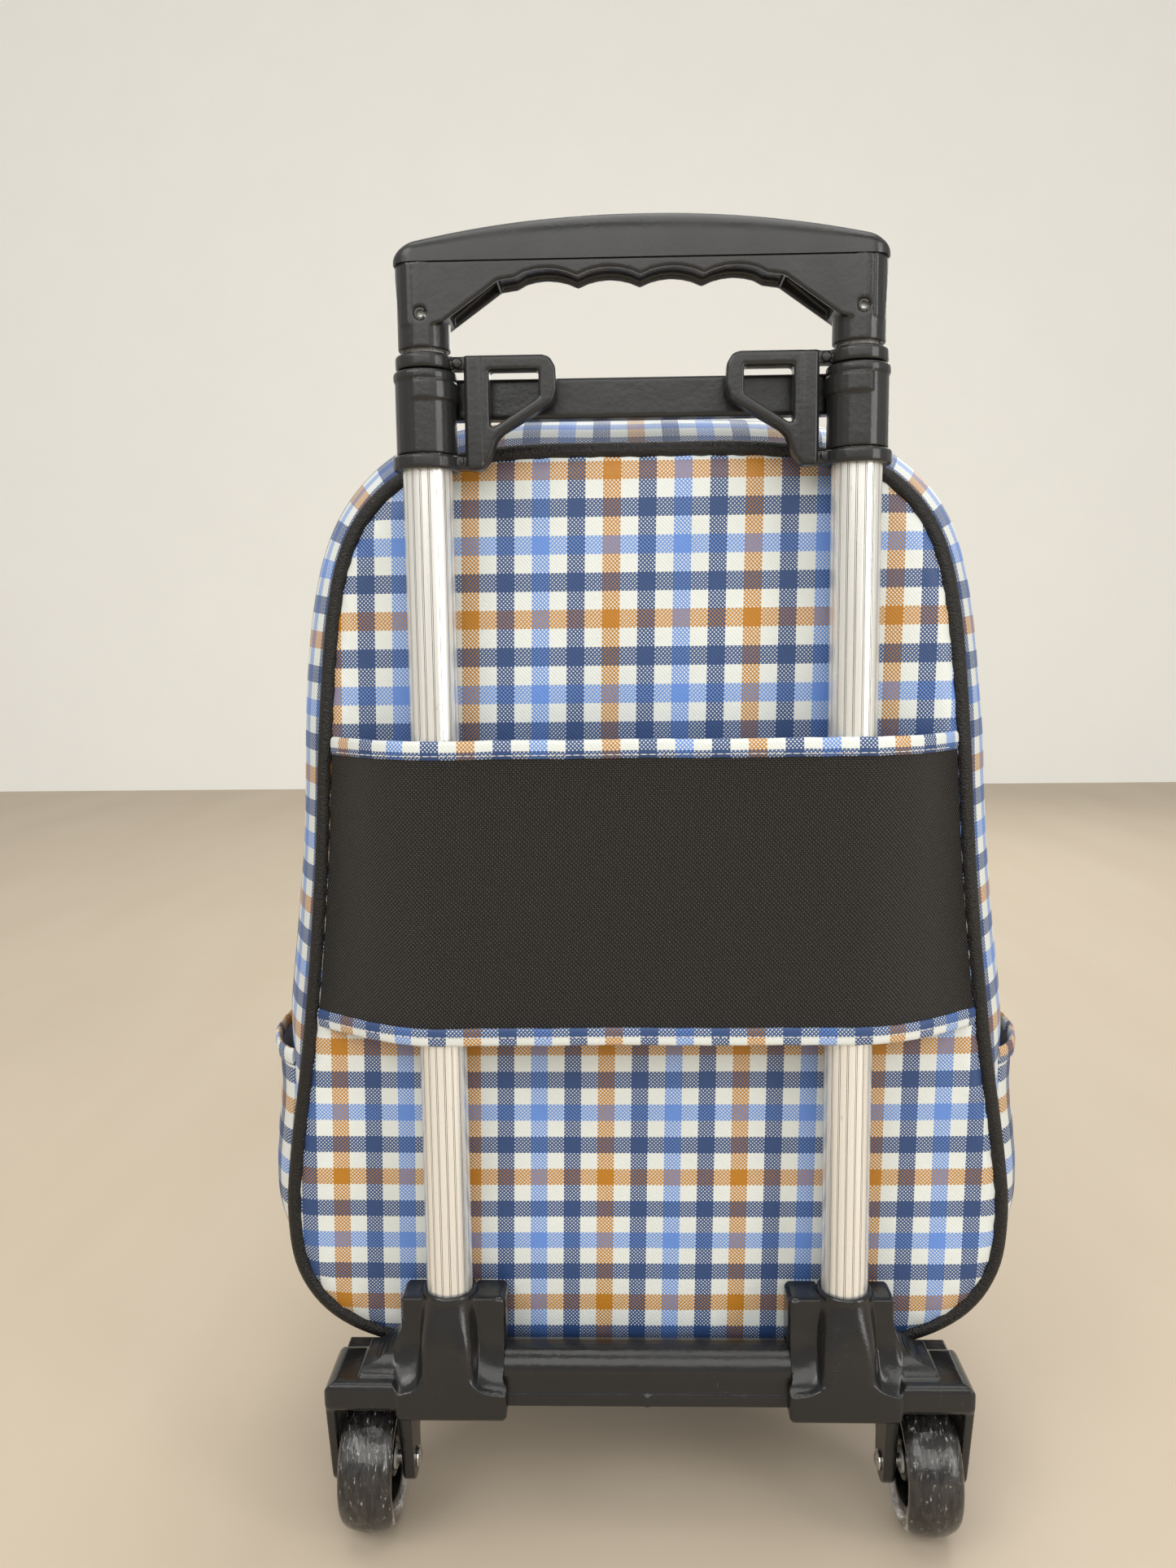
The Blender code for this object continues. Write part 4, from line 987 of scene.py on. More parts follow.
def zip_teeth(name, run, across, first, body):
    """A row of moulded teeth along a line, each one wider at its middle."""
    across = np.asarray(across, float)
    reach = reach_along(run)
    vertices, faces = [], []
    for number in range(int(reach[-1] / TOOTH_PITCH)):
        s = (number + first) * TOOTH_PITCH
        centre, ahead = place_at(run, reach, s), place_at(run, reach, s + 1.0)
        along = (ahead - centre) / (np.linalg.norm(ahead - centre) + 1e-9)
        out = np.cross(along, across)
        base = len(vertices)
        for reach_out, half_width, half_height in TOOTH_SHAPE:
            for side in (-1, 1):
                for top in (-1, 1):
                    place = centre + across * reach_out + along * side * half_width + out * top * half_height
                    vertices.append(spot(*place))
        for i in range(len(TOOTH_SHAPE) - 1):
            a = base + i * 4
            for j, k in ((0, 1), (1, 3), (3, 2), (2, 0)):
                faces.append((a + j, a + k, a + k + 4, a + j + 4))
        faces.append((base, base + 1, base + 3, base + 2))
        faces.append((base + 12, base + 14, base + 15, base + 13))
    mesh = bpy.data.meshes.new(name)
    mesh.from_pydata(vertices, [], faces)
    mesh.validate()
    face_outwards(mesh)
    smooth_shade(mesh, 50)
    new_piece(name, mesh, [PLASTIC], body)


FOLD_HALF = 9.0                # half the height of the strip at the flap's hinge


def hinge_fold():
    """The strip of cloth that joins the flap to the lower front."""
    reach = bag_half_width(-8.5, HINGE_Z)
    xs = np.linspace(-reach, reach, 70)
    rows, coordinates = [], []
    for z in np.linspace(HINGE_Z - FOLD_HALF, HINGE_Z + FOLD_HALF, 16):
        rise = 0.9 * (1 - abs(z - HINGE_Z) / FOLD_HALF) ** 0.5
        rows.append([(x, FRONT_Y - 2.2 + 1.6 + rise + 0.15 * wave(x, 0, z, 12.0), z) for x in xs])
        up = (z - FRONT_ORANGE[1]) / CHECK[1] + 0.5
        coordinates.append([((x - FRONT_ORANGE[0]) / CHECK[0] + 0.5, up) for x in xs])
    obj = new_piece("flap_fold", grid_mesh("flap_fold", rows, coordinates), [PLAID], None)
    face_towards(0, 1, 0)(obj.data)
    thicken(obj, 0.8)
    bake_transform(obj)


def bag_half_width(grow, z):
    """Half width of the bag at a height, on a section that stands out from the rear seam's line."""
    line = bag_line(grow)
    right = line[(line[:, 0] > 40)]
    order = np.argsort(right[:, 1])
    return float(np.interp(z, right[order, 1], right[order, 0]))


def section_grow(y):
    depths = [a for a, _ in SIDE_SECTIONS]
    return float(np.interp(y, depths, [b for _, b in SIDE_SECTIONS]))


# ---------------------------------------------------------------- sleeve band


BAND_CLEAR = 1.2               # from the tubes to the middle of the band


def band_line(z):
    """The band's line at a height, from its left seam round the outsides of the tubes to its right seam."""
    end = Vector((bag_half_width(0.0, z) - PIPING_R - 0.2, 15.6))
    front = -TUBE_R - BAND_CLEAR
    bend, top = Vector((TUBE_X + 25.0, front + 1.0)), Vector((TUBE_X + 1.0, front))
    right = [tuple(end * (1 - t) ** 2 + bend * 2 * t * (1 - t) + top * t * t) for t in np.linspace(0, 1, 24)]
    right += [(TUBE_X * (1 - t), front) for t in np.linspace(0.05, 1.0, 14)]
    plan = np.asarray([(-x, y) for x, y in right] + [(x, y) for x, y in reversed(right[:-1])], float)
    reach = reach_along(plan)
    spots = np.linspace(0, reach[-1], 180)
    plan = place_at(plan, reach, spots).T
    for _ in range(6):
        plan[1:-1] = (plan[:-2] + 2 * plan[1:-1] + plan[2:]) / 4
    slack = np.clip(1 - np.abs(plan[:, 0]) / (TUBE_X - 12), 0, 1)
    dip = 1.1 * slack ** 0.8 + 0.30 * np.array([wave(x, 0, z, 45.0) for x in plan[:, 0]]) * (slack > 0)
    return np.stack([plan[:, 0], plan[:, 1] + dip, np.full(len(plan), z)], 1), spots


def sleeve_band():
    rows, coordinates = [], []
    for z in np.linspace(BAND_LOW + BINDING - 1.5, BAND_HIGH - BINDING + 1.5, 30):
        line, spots = band_line(z)
        rows.append(line)
        coordinates.append([(s / CHECK[0], z / CHECK[0]) for s in spots])
    mesh = grid_mesh("sleeve_cloth", rows, coordinates)
    obj = new_piece("sleeve_cloth", mesh, [LEATHER], None, "sleeve_band")
    subdivide(obj)
    face_towards(0, -1, 0)(obj.data)
    thicken(obj, 1.3, offset=0.0)
    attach(obj, "frame")
    return obj


def sleeve_binding(word, low, orange_x, row_phase, stitch_z):
    """A folded strip of the checked cloth sewn over the band's edge, with its row of stitches."""
    line, spots = band_line(low + BINDING / 2)
    rows, coordinates = [], []
    half_y, half_z = 1.35, BINDING / 2
    angles = np.linspace(-math.pi / 2, 1.5 * math.pi, 20, endpoint=False)
    section = [(-math.cos(t) * half_y, math.sin(t)) for t in angles]
    along = np.gradient(line, axis=0)
    along /= np.linalg.norm(along, axis=1)[:, None]
    out = np.cross(along, (0, 0, 1))
    half_line = np.interp(0.0, line[:, 0], spots)
    for p, o, s in zip(line, out, spots):
        ripple = 0.22 * wave(s, 1, 0, 7.0) + 0.4 * wave(s, 7, 0, 40.0)
        ring, marks = [], []
        for a, b in section:
            reach = math.copysign(abs(b) ** 0.55, b) * half_z
            ring.append(p + o * (-a) + np.array([0, 0, reach + ripple]))
            marks.append(((s - half_line - orange_x) / CHECK[0] + 0.5, (reach + row_phase) / CHECK[1]))
        rows.append(ring)
        coordinates.append(marks + [marks[0]])
    mesh = grid_mesh(f"sleeve_edge_{word}", rows, coordinates, closed=True, capped=True)
    face_outwards(mesh)
    obj = new_piece(f"sleeve_edge_{word}", mesh, [PLAID], "frame", f"sleeve_binding_{word}")
    sewn = line + out * half_y * 0.98
    sewn[:, 2] = stitch_z
    sewn, out = sewn[3:-3], out[3:-3]
    return [obj, stitches(f"sleeve_stitches_{word}", sewn, out, "frame", pitch=3.4, length=3.0, thick=0.42)]


# ---------------------------------------------------------------- pockets


def side_pocket(side, word):
    """A patch pocket with an elastic hem, sewn into the seams at both its edges."""
    low, high = POCKET_LOW.z / MM, POCKET_HIGH.z / MM
    y0, y1 = POCKET_LOW.y / MM - TUBE_Y / MM, POCKET_HIGH.y / MM - TUBE_Y / MM
    rows, coordinates = [], []
    for z in np.linspace(low + 1, high, 30):
        fill = min(1.0, (z - low) / 26) ** 0.6
        gather = 0.35 * max(0.0, 1 - (high - z) / 16)
        row, marks = [], []
        for i in range(49):
            share = i / 48
            y = y0 + (y1 - y0) * share
            arch = math.sin(math.pi * share)
            wall = bag_half_width(section_grow(y), z) + 0.9
            stand = 9.0 * max(0.0, arch) ** 0.55 * fill
            crimp = gather * math.sin(AROUND * share * 17 + 2 * wave(y, z, 0, 20.0)) * arch
            slack = 0.8 * wave(y, 20, z, 30.0) * arch
            row.append((side * (wall + stand + crimp + slack), y, z))
            marks.append((z / CHECK[0] + 0.4, y / CHECK[0] + 0.2))
        rows.append(row)
        coordinates.append(marks)
    mesh = grid_mesh(f"pocket_{word}", rows, coordinates)
    turn = face_towards(side, 0, 0)
    obj = lined_piece(f"pocket_{word}", mesh, f"side_pocket_{word}", "frame", turn, 1.1, fine=True)
    rim = np.asarray(rows[-1], float)
    section = [(a * 1.5, b * 4.2) for a, b in round_section(1.0, 12)]
    seam = sweep_mesh(f"pocket_hem_{word}", rim - (0, 0, 2.6), section, checks=(1.1, 0.3))
    hem = new_piece(f"pocket_hem_{word}", seam, [PLAID], "frame")
    stitch_line = rim[2:-2] - (0, 0, 5.2) + np.array([side * 1.15, 0, 0])
    normals = np.tile([float(side), 0, 0], (len(stitch_line), 1))
    thread = stitches(f"pocket_stitches_{word}", stitch_line, normals, "frame")


def box_checks(mesh, centre):
    """Cloth coordinates for a sewn box shape: each side takes the cloth straight on."""
    layer = mesh.uv_layers.get("cloth") or mesh.uv_layers.new(name="cloth")
    for poly in mesh.polygons:
        x, y, z = (abs(part) for part in poly.normal)
        axes = (0, 2) if y >= max(x, z) * 0.8 else ((1, 2) if x > z else (0, 1))
        for index in poly.loop_indices:
            place = mesh.vertices[mesh.loops[index].vertex_index].co / MM
            layer.data[index].uv = [(place[axes[k]] - centre[k]) / CHECK[k] + 0.5 for k in range(2)]


def rounded_frame(half, low, high, radius, y, steps=8):
    """A rectangle with round corners, standing at a depth."""
    top, bottom = high - radius, low + radius
    points = []
    for number, (side, z) in enumerate(((1, top), (-1, top), (-1, bottom), (1, bottom))):
        points += arc((side * (half - radius), z), radius, number * 90, number * 90 + 90, steps)
    return [(x, y, z) for x, z in points]


def puff(obj, pressure, cap, frames=20):
    """Blows a closed cloth shape up by simulation. No point moves further than the cap."""
    scene = bpy.context.scene
    rest = np.array([v.co for v in obj.data.vertices])
    cloth = obj.modifiers.new("cloth", "CLOTH")
    settings = cloth.settings
    settings.use_pressure = True
    settings.uniform_pressure_force = pressure
    settings.quality = 5
    settings.tension_stiffness = 25
    settings.compression_stiffness = 25
    settings.shear_stiffness = 10
    settings.bending_stiffness = 0.4
    settings.effector_weights.gravity = 0
    group = obj.vertex_groups.new(name="sewn")
    back = rest[:, 1].min()
    group.add([i for i, p in enumerate(rest) if p[1] < back + 0.003], 1.0, "REPLACE")
    settings.vertex_group_mass = "sewn"
    cloth.point_cache.frame_start = 1
    cloth.point_cache.frame_end = frames
    for number in range(1, frames + 1):
        scene.frame_set(number)
    bake_modifiers(obj)
    scene.frame_set(1)
    now = np.array([v.co for v in obj.data.vertices])
    moved = now - rest
    length = np.linalg.norm(moved, axis=1)
    scale = np.minimum(1.0, cap * MM / np.maximum(length, 1e-9))
    obj.data.vertices.foreach_set("co", (rest + moved * scale[:, None]).astype(np.float32).ravel())
    obj.data.update()


POCKET_HALF = 112.0
POCKET_FRONT_LOW, POCKET_FRONT_HIGH = 92.0, 220.0


# Depth of each ring of the pocket from its sewn edge, and how far it lies in from that edge
POCKET_RINGS = [(0.0, 0.5), (6.0, 0.8), (10.5, 2.0), (13.5, 6.5), (14.5, 14.0)]


def front_pocket():
    """The padded pocket on the lower front, blown up a little, with a welted edge, a zip and its tape."""
    low, high, half = POCKET_FRONT_LOW, POCKET_FRONT_HIGH, POCKET_HALF
    start = FRONT_Y + 0.8
    rings = [rounded_frame(half - i, low + i, high - i, 24, start + y) for y, i in POCKET_RINGS]
    mesh = solid_grid("pocket_front", rings)
    obj = new_piece("pocket_front", mesh, [PLAID], None, "front_pocket")
    remesh = obj.modifiers.new("even", "REMESH")
    remesh.mode = "VOXEL"
    remesh.voxel_size = 4.2 * MM
    bake_modifiers(obj)
    if SLOW:
        puff(obj, 4.0, 6.0)
    subdivide(obj)
    flatten_front(obj.data, spot(0, start, 0).y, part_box("front_pocket")[1].y)
    if not obj.data.materials:
        obj.data.materials.append(PLAID)
    obj.data.shade_smooth()
    box_checks(obj.data, FRONT_ORANGE)
    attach(obj, "frame")
    edge = rounded_frame(half - 1.6, low + 1.6, high - 1.6, 22, start + 10.2, 14)
    welt = sweep_mesh("pocket_front_welting", edge, round_section(1.7, 10), closed=True, up=(0, 1, 0))
    new_piece("pocket_front_welting", welt, [PIPING], "frame")
    pocket_zip(obj.data)


def flatten_front(mesh, back, front):
    """Presses a puffed shape back evenly, so that it stands out no further than a given depth."""
    share = (front - back) / max(front - back, max(v.co.y for v in mesh.vertices) - back)
    for vertex in mesh.vertices:
        if vertex.co.y > back:
            vertex.co.y = back + (vertex.co.y - back) * share


POCKET_TAPE_SECTION = [(-0.5, -4.0), (0.6, -4.0), (0.6, 4.0), (-0.5, 4.0)]


def pocket_zip(mesh):
    """The front pocket's zip: a tape with two rows of teeth, following the puffed cloth under its slider."""
    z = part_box("pocket_zip_slider")[1].z / MM - 3.0
    tree = BVHTree.FromPolygons([v.co for v in mesh.vertices], [p.vertices for p in mesh.polygons])
    line = []
    for x in np.linspace(-POCKET_HALF + 18, POCKET_HALF - 18, 90):
        hit = tree.ray_cast(spot(x, 300, z), Vector((0, -1, 0)))[0]
        line.append((x, (hit.y - TUBE_Y) / MM, z))
    line = np.asarray(line)
    for _ in range(8):
        line[1:-1, 1] = (line[:-2, 1] + 2 * line[1:-1, 1] + line[2:, 1]) / 4
    tape = sweep_mesh("pocket_zip_tape", line, POCKET_TAPE_SECTION)
    new_piece("pocket_zip_tape", tape, [TAPE], "frame")
    for sign, word in ((-1, "lower"), (1, "upper")):
        run = line + (0, 0.75, sign * 0.9)
        zip_teeth(f"pocket_zip_teeth_{word}", run, (0.0, 0.0, 1.0), 0.5 if sign > 0 else 0.0, "frame")


# ---------------------------------------------------------------- tubes, handle, wheels


FLUTES = 18
FLUTE_WIDTHS = (-0.115, -0.085, -0.055, 0.055, 0.085, 0.115, 0.35, 0.5, 0.65)   # shares of one flute's pitch
FLUTE_DROPS = (0.0, 0.42, 0.0, 0.0, 0.42, 0.0, -0.05, -0.07, -0.05)             # depths below the tube's face


def fluted_tube(side, word):
    """A drawn tube with pairs of narrow grooves, a little unevenly spaced as on the die."""
    outline, sunk = [], []
    for flute in range(FLUTES):
        shift = 0.07 * wave(flute * 3.7, side * 5.0, 0.0, 1.9)
        depth = 1.0 + 0.45 * wave(flute * 2.3, 4.0, side * 3.0, 1.3)
        for share, drop in zip(FLUTE_WIDTHS, FLUTE_DROPS):
            angle = AROUND * (flute + share + (shift if share < 0.2 else 0.0)) / FLUTES
            radius = TUBE_R - 0.08 - drop * (depth if drop > 0 else 1.0)
            outline.append((radius * math.cos(angle), radius * math.sin(angle)))
            sunk.append(drop > 0)
    inner = [(a * 0.9, b * 0.9) for a, b in outline]
    x = side * TUBE_X
    low, high = TUBE_Z
    ends = ((inner, low), (outline, low), (outline, high), (inner, high), (inner, low))
    rows = [[(x + a, b, z) for a, b in line] for line, z in ends]
    mesh = grid_mesh(f"fluted_tube_{word}", rows, closed=True, smooth=None)
    columns = len(outline)
    # Faces inside the grooves take the aluminium darkened as painted shade.
    for number, poly in enumerate(mesh.polygons):
        column = number % columns
        if number // columns == 1 and (sunk[column] or sunk[(column + 1) % columns]):
            poly.material_index = 1
    weld(mesh)
    face_outwards(mesh)
    smooth_shade(mesh, 22)
    new_piece(f"fluted_tube_{word}", mesh, [ALUMINIUM, GROOVE_PAINTED_SHADE], "frame", f"outer_tube_{word}")


def grip_cover():
    """The arched cover of the grip, with a soft crown and rounded ends."""
    half = COVER_HIGH.x / MM
    base = COVER_LOW.z / MM - 0.45
    top = COVER_HIGH.z / MM
    end_top = top - 11.0
    stations, rows = 120, []
    for i in range(stations + 1):
        angle = math.pi * i / stations
        x = -half * math.cos(angle)
        from_end = half - abs(x)
        round_off = math.sqrt(max(0.0, 1 - max(0.0, 1 - from_end / 9.0) ** 2))
        half_y = 10.3 * (0.35 + 0.65 * round_off)
        height = (top - (top - end_top) * (abs(x) / half) ** 2.1 - base) * (0.2 + 0.8 * round_off)
        ring = []
        for k in range(25):
            t = math.pi * k / 24
            a, b = -math.cos(t), math.sin(t)
            wide = math.copysign(abs(a) ** 0.62, a)
            tall = 0.22 + 0.78 * b ** 0.72 if 0 < k < 24 else 0.0
            ring.append((x, wide * half_y, base + tall * height))
        rows.append(ring)
    mesh = grid_mesh("grip_cover", rows, closed=True, capped=True, smooth=55)
    face_outwards(mesh)
    new_piece("grip_cover", mesh, [PLASTIC], "handle", "handle_top_cover")


def tyre(side, word):
    """The clear tyre: a round tread with a fine parting line, and a step where it grips the hub."""
    inner = 20.8
    half = WHEEL_HALF_X
    crown = WHEEL_R - 24.5
    profile = [(inner, -half + 1.6), (inner + 0.5, -half + 0.5), (inner + 1.6, -half)]
    for degrees in range(0, 181, 9):
        a = math.radians(degrees)
        ridge = 0.16 if degrees == 90 else 0.0
        profile.append((24.5 + (crown - 0.2) * math.sin(a) + ridge, -half * math.cos(a)))
    profile += [(inner + 1.6, half), (inner + 0.5, half - 0.5), (inner, half - 1.6)]
    centre = (side * WHEEL_X, 0, WHEEL_R)
    mesh = lathe_mesh(f"clear_tyre_{word}", profile, centre, "X", 96, 60)
    new_piece(f"clear_tyre_{word}", mesh, [CLEAR], f"wheel_{word}", f"tyre_{word}")


def hub(side, word):
    """The dark core: a rim, a boss and a ribbed web between them."""
    centre = (side * WHEEL_X, 0, WHEEL_R)
    profile = rounded([(5.6, -9.4), (8.0, -9.4), (8.9, -2.2), (17.0, -2.2), (17.8, -9.7), (21.1, -9.7),
                       (21.1, 9.7), (17.8, 9.7), (17.0, 2.2), (8.9, 2.2), (8.0, 9.4), (5.6, 9.4)], 0.8)
    meshes = [lathe_mesh("core", profile, centre, "X", 72, 35)]
    ribs = 6
    for i in range(ribs):
        turn = Matrix.Rotation(AROUND * i / ribs, 4, "X")
        rib = block_mesh((-6.5, 6.5), (8.0, 17.9), (-0.9, 0.9))
        rib.transform(Matrix.Translation((0, -TUBE_Y, 0)))
        rib.transform(turn)
        rib.transform(Matrix.Translation(spot(*centre)))
        meshes.append(rib)
    mesh = merged(f"ribbed_core_{word}", meshes)
    smooth_shade(mesh, 35)
    new_piece(f"ribbed_core_{word}", mesh, [CORE], f"wheel_{word}", f"wheel_hub_{word}")


def inner_tube(side, word):
    """The plain tube that draws out with the handle."""
    low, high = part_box(f"inner_tube_{word}")
    radius = (high.x - low.x) / 2 / MM
    profile = [(radius - 1.0, low.z / MM), (radius - 0.2, low.z / MM), (radius, low.z / MM + 0.3),
               (radius, high.z / MM - 0.3), (radius - 0.2, high.z / MM), (radius - 1.0, high.z / MM)]
    mesh = lathe_mesh(f"drawn_tube_{word}", profile, (side * TUBE_X, 0, 0), "Z", 64, 35)
    new_piece(f"drawn_tube_{word}", mesh, [ALUMINIUM], "handle", f"inner_tube_{word}")


BLOCK_FRONT_Y = -18.5          # front face of the housing's block
WING_FRONT_Y = -6.0            # front face of the wings beside the column
COLUMN_R = 12.1
BLOCK_END_X = 108.5            # where the block ends and the wheel's hood begins
HOOD_TOP = 75.5
HOOD_CORNER = 6.5              # radius of the hood's outer upper corner
SWEEP_POWER = 1.8              # 2 would make the hollow sweeps round


def hollow_sweep(z, foot, head):
    """Depth of a hollow curve from the wing's face at its head to the block's front at its foot."""
    share = np.clip((head - z) / (head - foot), 0, 1)
    return BLOCK_FRONT_Y + (WING_FRONT_Y - BLOCK_FRONT_Y) * (1 - share ** SWEEP_POWER) ** (1 / SWEEP_POWER)


def housing_front(x, z):
    """Depth of the housing's front at a distance from the trolley's middle and a height."""
    aside = np.abs(x - TUBE_X)
    foot = 70.5 + 4.0 * np.exp(-np.maximum(aside - COLUMN_R, 0) / 5.0)
    over_hood = np.clip((x - BLOCK_END_X + 2.0) / 4.0, 0, 1)
    over_hood = eased(over_hood)
    foot = foot + (HOOD_TOP - 0.1 - foot) * over_hood
    wings = hollow_sweep(z, foot, 96.0 - 10.0 * over_hood)
    low = np.sin(np.pi / 2 * np.clip((108.0 - z) / 34.0, 0, 1))
    squareness = 2.0 + 3.0 * low * low
    round_off = np.clip(1 - (aside / (COLUMN_R + 0.8 * low)) ** squareness, 0, 1) ** (1 / squareness)
    column = -(COLUMN_R + 6.5 * low) * round_off
    blend = 3.0 + 7.0 * np.clip((90.0 - z) / 18.0, 0, 1) ** 2
    share = np.clip(0.5 + 0.5 * (column - wings) / blend, 0, 1)
    joined = column * (1 - share) + wings * share - blend * share * (1 - share)
    return np.maximum(BLOCK_FRONT_Y, joined)


def housing_reach(side):
    """How far a housing reaches from the trolley's middle, in millimetres."""
    return max(abs(place.x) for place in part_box(f"wheel_housing_{SIDES[side]}")) / MM


def press_housing(side):
    """Shapes a housing's front between its block and its column's top, and rounds the hood's outer corner."""
    reach = housing_reach(side)

    def press(mesh):
        places = np.empty(len(mesh.vertices) * 3, np.float32)
        mesh.vertices.foreach_get("co", places)
        places = places.reshape(-1, 3).astype(float)
        x, y, z = side * places[:, 0] / MM, (places[:, 1] - TUBE_Y) / MM, places[:, 2] / MM
        front = housing_front(x, z)
        chosen = (z > 69.0) & (z < 108.4) & (y < front)
        y[chosen] = front[chosen]
        centre_x, centre_z = reach - HOOD_CORNER, HOOD_TOP - HOOD_CORNER
        far = np.hypot(x - centre_x, z - centre_z)
        chosen = (x > centre_x) & (z > centre_z) & (far > HOOD_CORNER)
        x[chosen] = centre_x + (x[chosen] - centre_x) * HOOD_CORNER / far[chosen]
        z[chosen] = centre_z + (z[chosen] - centre_z) * HOOD_CORNER / far[chosen]
        made = np.stack([side * x * MM, y * MM + TUBE_Y, z * MM], 1)
        mesh.vertices.foreach_set("co", made.astype(np.float32).ravel())
        mesh.update()

    return press


def housing_flares(side):
    """The column's spreading front, and the curve from its wing down to the hood."""
    rows = []
    for z in np.linspace(66.0, 107.6, 30):
        across = np.linspace(TUBE_X - 20.0, TUBE_X + 20.0, 61)
        line = [(side * a, b, z) for a, b in zip(across, housing_front(across, z))]
        rows.append(line + [(side * across[-1], 2.0, z), (side * across[0], 2.0, z)])
    start, end = side * (TUBE_X + 14.0), side * (housing_reach(side) - 2.5)
    curve = []
    for i in range(17):
        t = i / 16
        x, front, top = start + (end - start) * t, -4.5 + 1.0 * t, 73.0 + 22.0 * (1 - t) ** 2.6
        curve.append([(x, front, top), (x, 9.0, top + 1.5), (x, 9.0, 66.0), (x, front, 66.0)])
    return [solid_grid("skirt", rows), solid_grid("ramp", curve)]


def hook_extras(side):
    """The post that stands a little proud of the hook's plate."""
    x = side * TUBE_X
    low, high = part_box(f"hook_{SIDES[side]}")
    post = block_mesh((x - side * 17.0, x - side * 22.6), (-5.0, 4.4), (low.z / MM + 0.6, high.z / MM - 0.5))
    gates = []
    for z in (low.z / MM + 3.4, high.z / MM - 3.0):
        profile = [(0.01, -5.3), (1.6, -5.3), (1.9, -5.0), (1.9, -3.5), (0.01, -3.5)]
        gates.append(lathe_mesh("gate", profile, (x - side * 13.3, 0, z), "Y", 24))
    return [post, *gates]


def grip_hollows():
    """The moulding's hollow underside in the two slanting webs, behind a lip at the front and the back."""
    wall = 7.3
    made = []
    for side in (-1, 1):
        line = [(56.0, 526.0), (75.0, 511.5), (75.0, 520.5), (57.0, 534.5)]
        made.append(solid_grid("hollow", [[(side * x, y, z) for x, z in line] for y in (-wall, wall)]))
    return made


def gate_mark():
    """The small stub left at the middle of the lower crossbar's lip."""
    return block_mesh((-0.9, 0.9), (-12.1, -10.5), (61.2, 66.2))


# ---------------------------------------------------------------- camera, floor, light


def make_camera():
    """A close view of the back, from a little above the bag's middle."""
    yaw, pitch, roll = 0.02793, 0.11968, -0.01156
    forward = Vector((-math.sin(yaw) * math.cos(pitch), math.cos(yaw) * math.cos(pitch), -math.sin(pitch)))
    right = Vector((math.cos(yaw), math.sin(yaw), 0))
    up = right.cross(forward)
    across = right * math.cos(roll) + up * math.sin(roll)
    upward = up * math.cos(roll) - right * math.sin(roll)
    camera = new_object("camera", bpy.data.cameras.new("camera"))
    turn = Matrix((across, upward, -forward)).transposed()
    camera.matrix_world = Matrix.Translation((-0.00933, TUBE_Y - 0.48523, 0.390)) @ turn.to_4x4()
    camera.data.lens = 27.05
    camera.data.sensor_width = 36.0
    camera.data.clip_start = 0.01
    bpy.context.scene.camera = camera


def stage_plane(name, corners, dark, light, glow):
    mesh = bpy.data.meshes.new(name)
    mesh.from_pydata(corners, [], [(0, 1, 2, 3)])
    shade = Shade(f"pale_{name}", Roughness=0.62)
    shade.set("Base Color", shade.blend(shade.noise(shade.place((1.0, 0.2, 1.0)), 9.0, 4.0), dark, light))
    shade.set("Emission Color", light).set("Emission Strength", glow)
    mesh.materials.append(shade.mat)
    new_object(name, mesh)


def make_stage():
    """A plain pale floor and a plain wall far behind, in metres."""
    far, wide, tall = 2.6, 4.0, 4.0
    floor = [(-wide, -wide, 0), (wide, -wide, 0), (wide, far, 0), (-wide, far, 0)]
    wall = [(-wide, far, 0), (wide, far, 0), (wide, far, tall), (-wide, far, tall)]
    stage_plane("floor", floor, (0.53, 0.44, 0.33, 1), (0.61, 0.52, 0.41, 1), 0.0)
    stage_plane("wall", wall, (0.74, 0.73, 0.69, 1), (0.78, 0.77, 0.73, 1), 0.30)


LIGHT_COLOUR = (1.0, 0.985, 0.955)


def area_light(name, place, aim, size, power):
    light = bpy.data.lights.new(name, "AREA")
    light.shape = "RECTANGLE"
    light.size, light.size_y = size
    light.energy = power
    light.color = LIGHT_COLOUR
    obj = new_object(name, light)
    obj.location = place
    obj.rotation_mode = "QUATERNION"
    obj.rotation_quaternion = (Vector(aim) - Vector(place)).to_track_quat("-Z", "Y")


def make_light():
    world = bpy.data.worlds.new("studio")
    bpy.context.scene.world = world
    world.use_nodes = True
    background = world.node_tree.nodes["Background"]
    background.inputs[0].default_value = (0.93, 0.925, 0.89, 1)
    background.inputs[1].default_value = 0.56
    area_light("front", (-0.1, -1.7, 1.35), (0, 0, 0.35), (2.4, 1.1), 17)
    area_light("key", (-1.2, -1.2, 1.7), (0, 0, 0.28), (0.9, 0.9), 10)
    area_light("window", (1.5, -1.15, 0.74), (0, 0, 0.30), (0.55, 1.4), 12)
    area_light("top", (0.1, -0.1, 2.0), (0, 0, 0.2), (1.4, 1.4), 12)
    area_light("behind", (0.5, 1.8, 1.3), (0, 0, 0.28), (1.4, 1.2), 12)
    bpy.context.scene.view_settings.view_transform = "Standard"


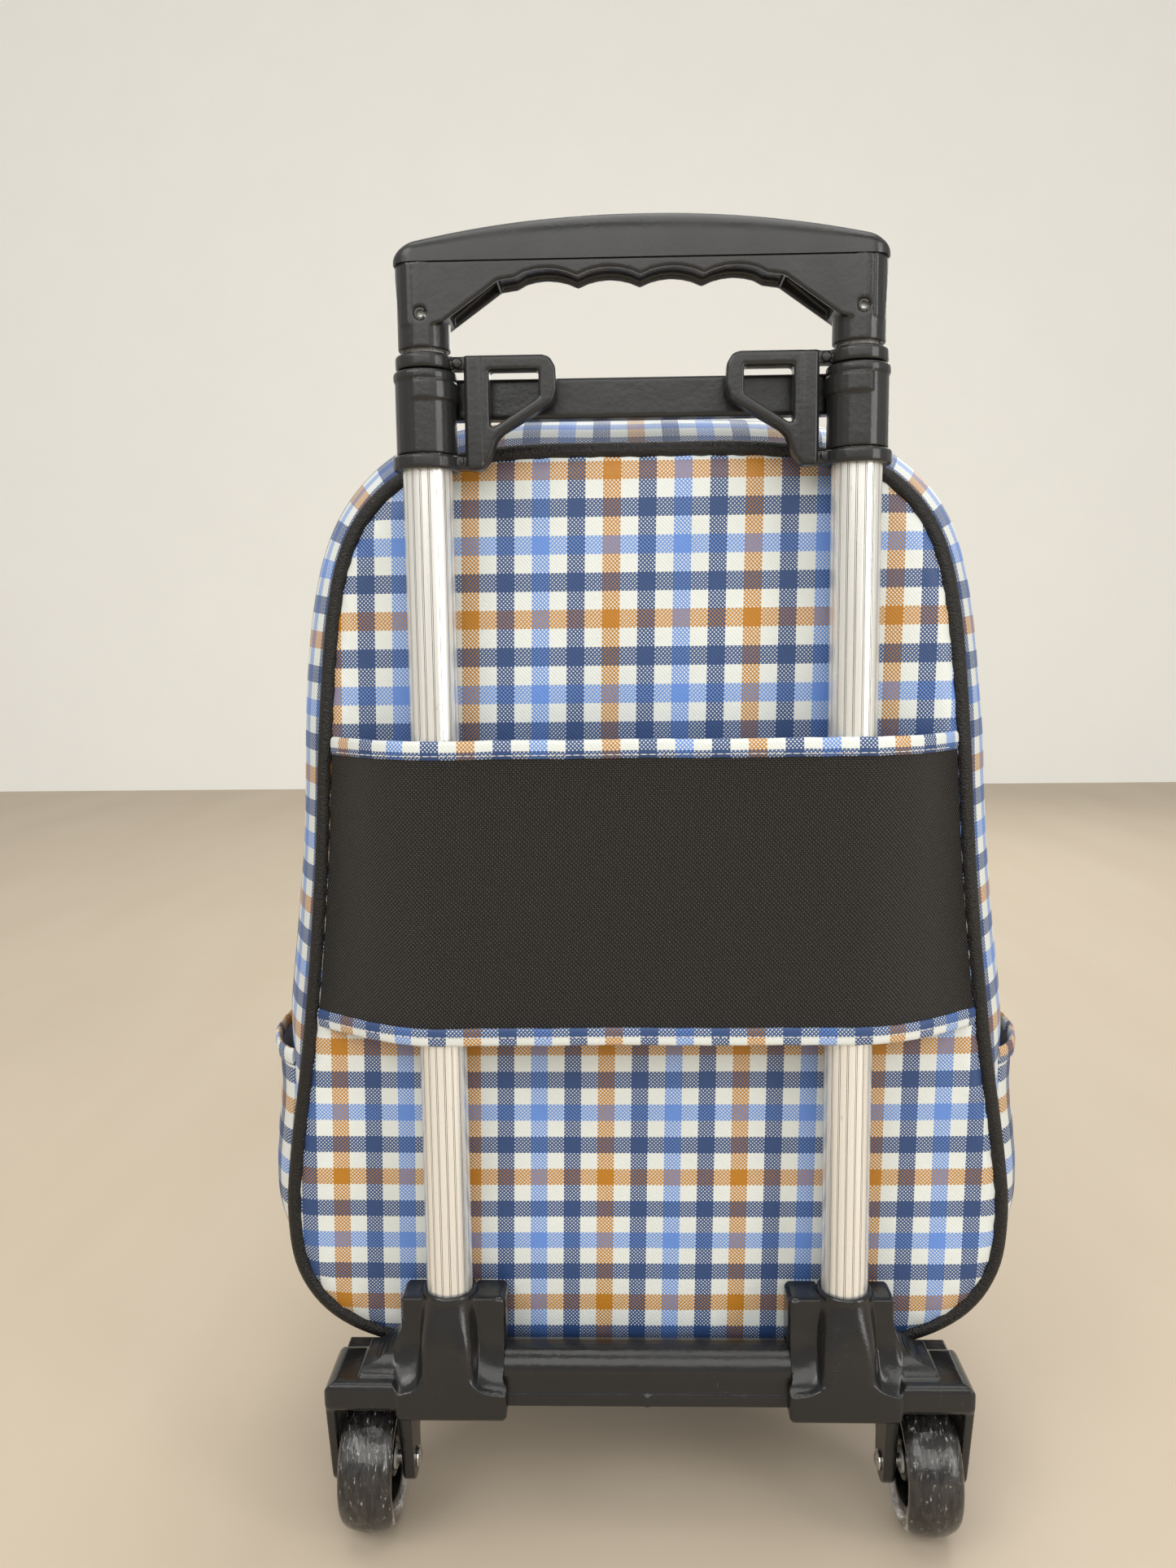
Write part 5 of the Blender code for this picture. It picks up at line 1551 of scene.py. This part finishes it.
# ---------------------------------------------------------------- the whole trolley


def dress_carried_nodes():
    """Every node that stays gets the finished material of its slot, except the roll pins, whose steel is
    darkened as painted shade for their shaded holes.
    """
    slots = {row["node"]: row["material_slot"] for row in frame["record"]["subparts"]}
    for name, obj in frame["nodes"].items():
        obj.data.materials.clear()
        obj.data.materials.append(PIN_PAINTED_SHADE_STEEL if "roll_pin" in name else CARRIED[slots[name]])


def build_frame():
    for side, word in SIDES.items():
        fluted_tube(side, word)
        moulded(f"upper_socket_{word}", "frame", PLASTIC, 0.45, 5)
        moulded(f"hook_{word}", f"hook_{word}", PLASTIC, 0.45, 6, extra=hook_extras(side))
        moulded(
            f"wheel_housing_{word}", "frame", SATIN, 0.6, 7,
            extra=housing_flares(side), press=press_housing(side),
        )
        tyre(side, word)
        hub(side, word)
        inner_tube(side, word)
    moulded("upper_crossbar", "frame", PLASTIC, 0.6, 3)
    moulded("lower_crossbar", "frame", SATIN, 0.7, 13, extra=[gate_mark()])
    moulded("front_stand", "frame", SATIN, 0.9, 4)
    moulded("handle_grip", "handle", PLASTIC, 0.5, 5, hollows=grip_hollows())
    moulded("platform", "frame", SATIN, 0.9, 3)
    grip_cover()


def build_bag():
    back_panel()
    bag_sides()
    front_shell("flap", "flap", "bag_flap", keep_low=False)
    front_shell("front_lower", "frame", "bag_front_lower", keep_low=True)
    rear_piping()
    front_piping("flap", "flap", keep_low=False)
    front_piping("front_lower", "frame", keep_low=True)
    zip_half("bag", "frame", -1)
    zip_half("flap", "flap", 1)
    hinge_fold()
    band = sleeve_band()
    edges = sleeve_binding("top", BAND_HIGH - BINDING, -13.0, 3 * CHECK[1] + 0.5, BAND_HIGH - BINDING + 1.8)
    edges += sleeve_binding("bottom", BAND_LOW, -13.0, 2 * CHECK[1], BAND_LOW + BINDING / 2)
    length = float(band_line(BAND_LOW)[1][-1])
    side_pocket(-1, "left")
    side_pocket(1, "right")
    front_pocket()


make_camera()
make_stage()
make_light()
dress_carried_nodes()
build_frame()
build_bag()
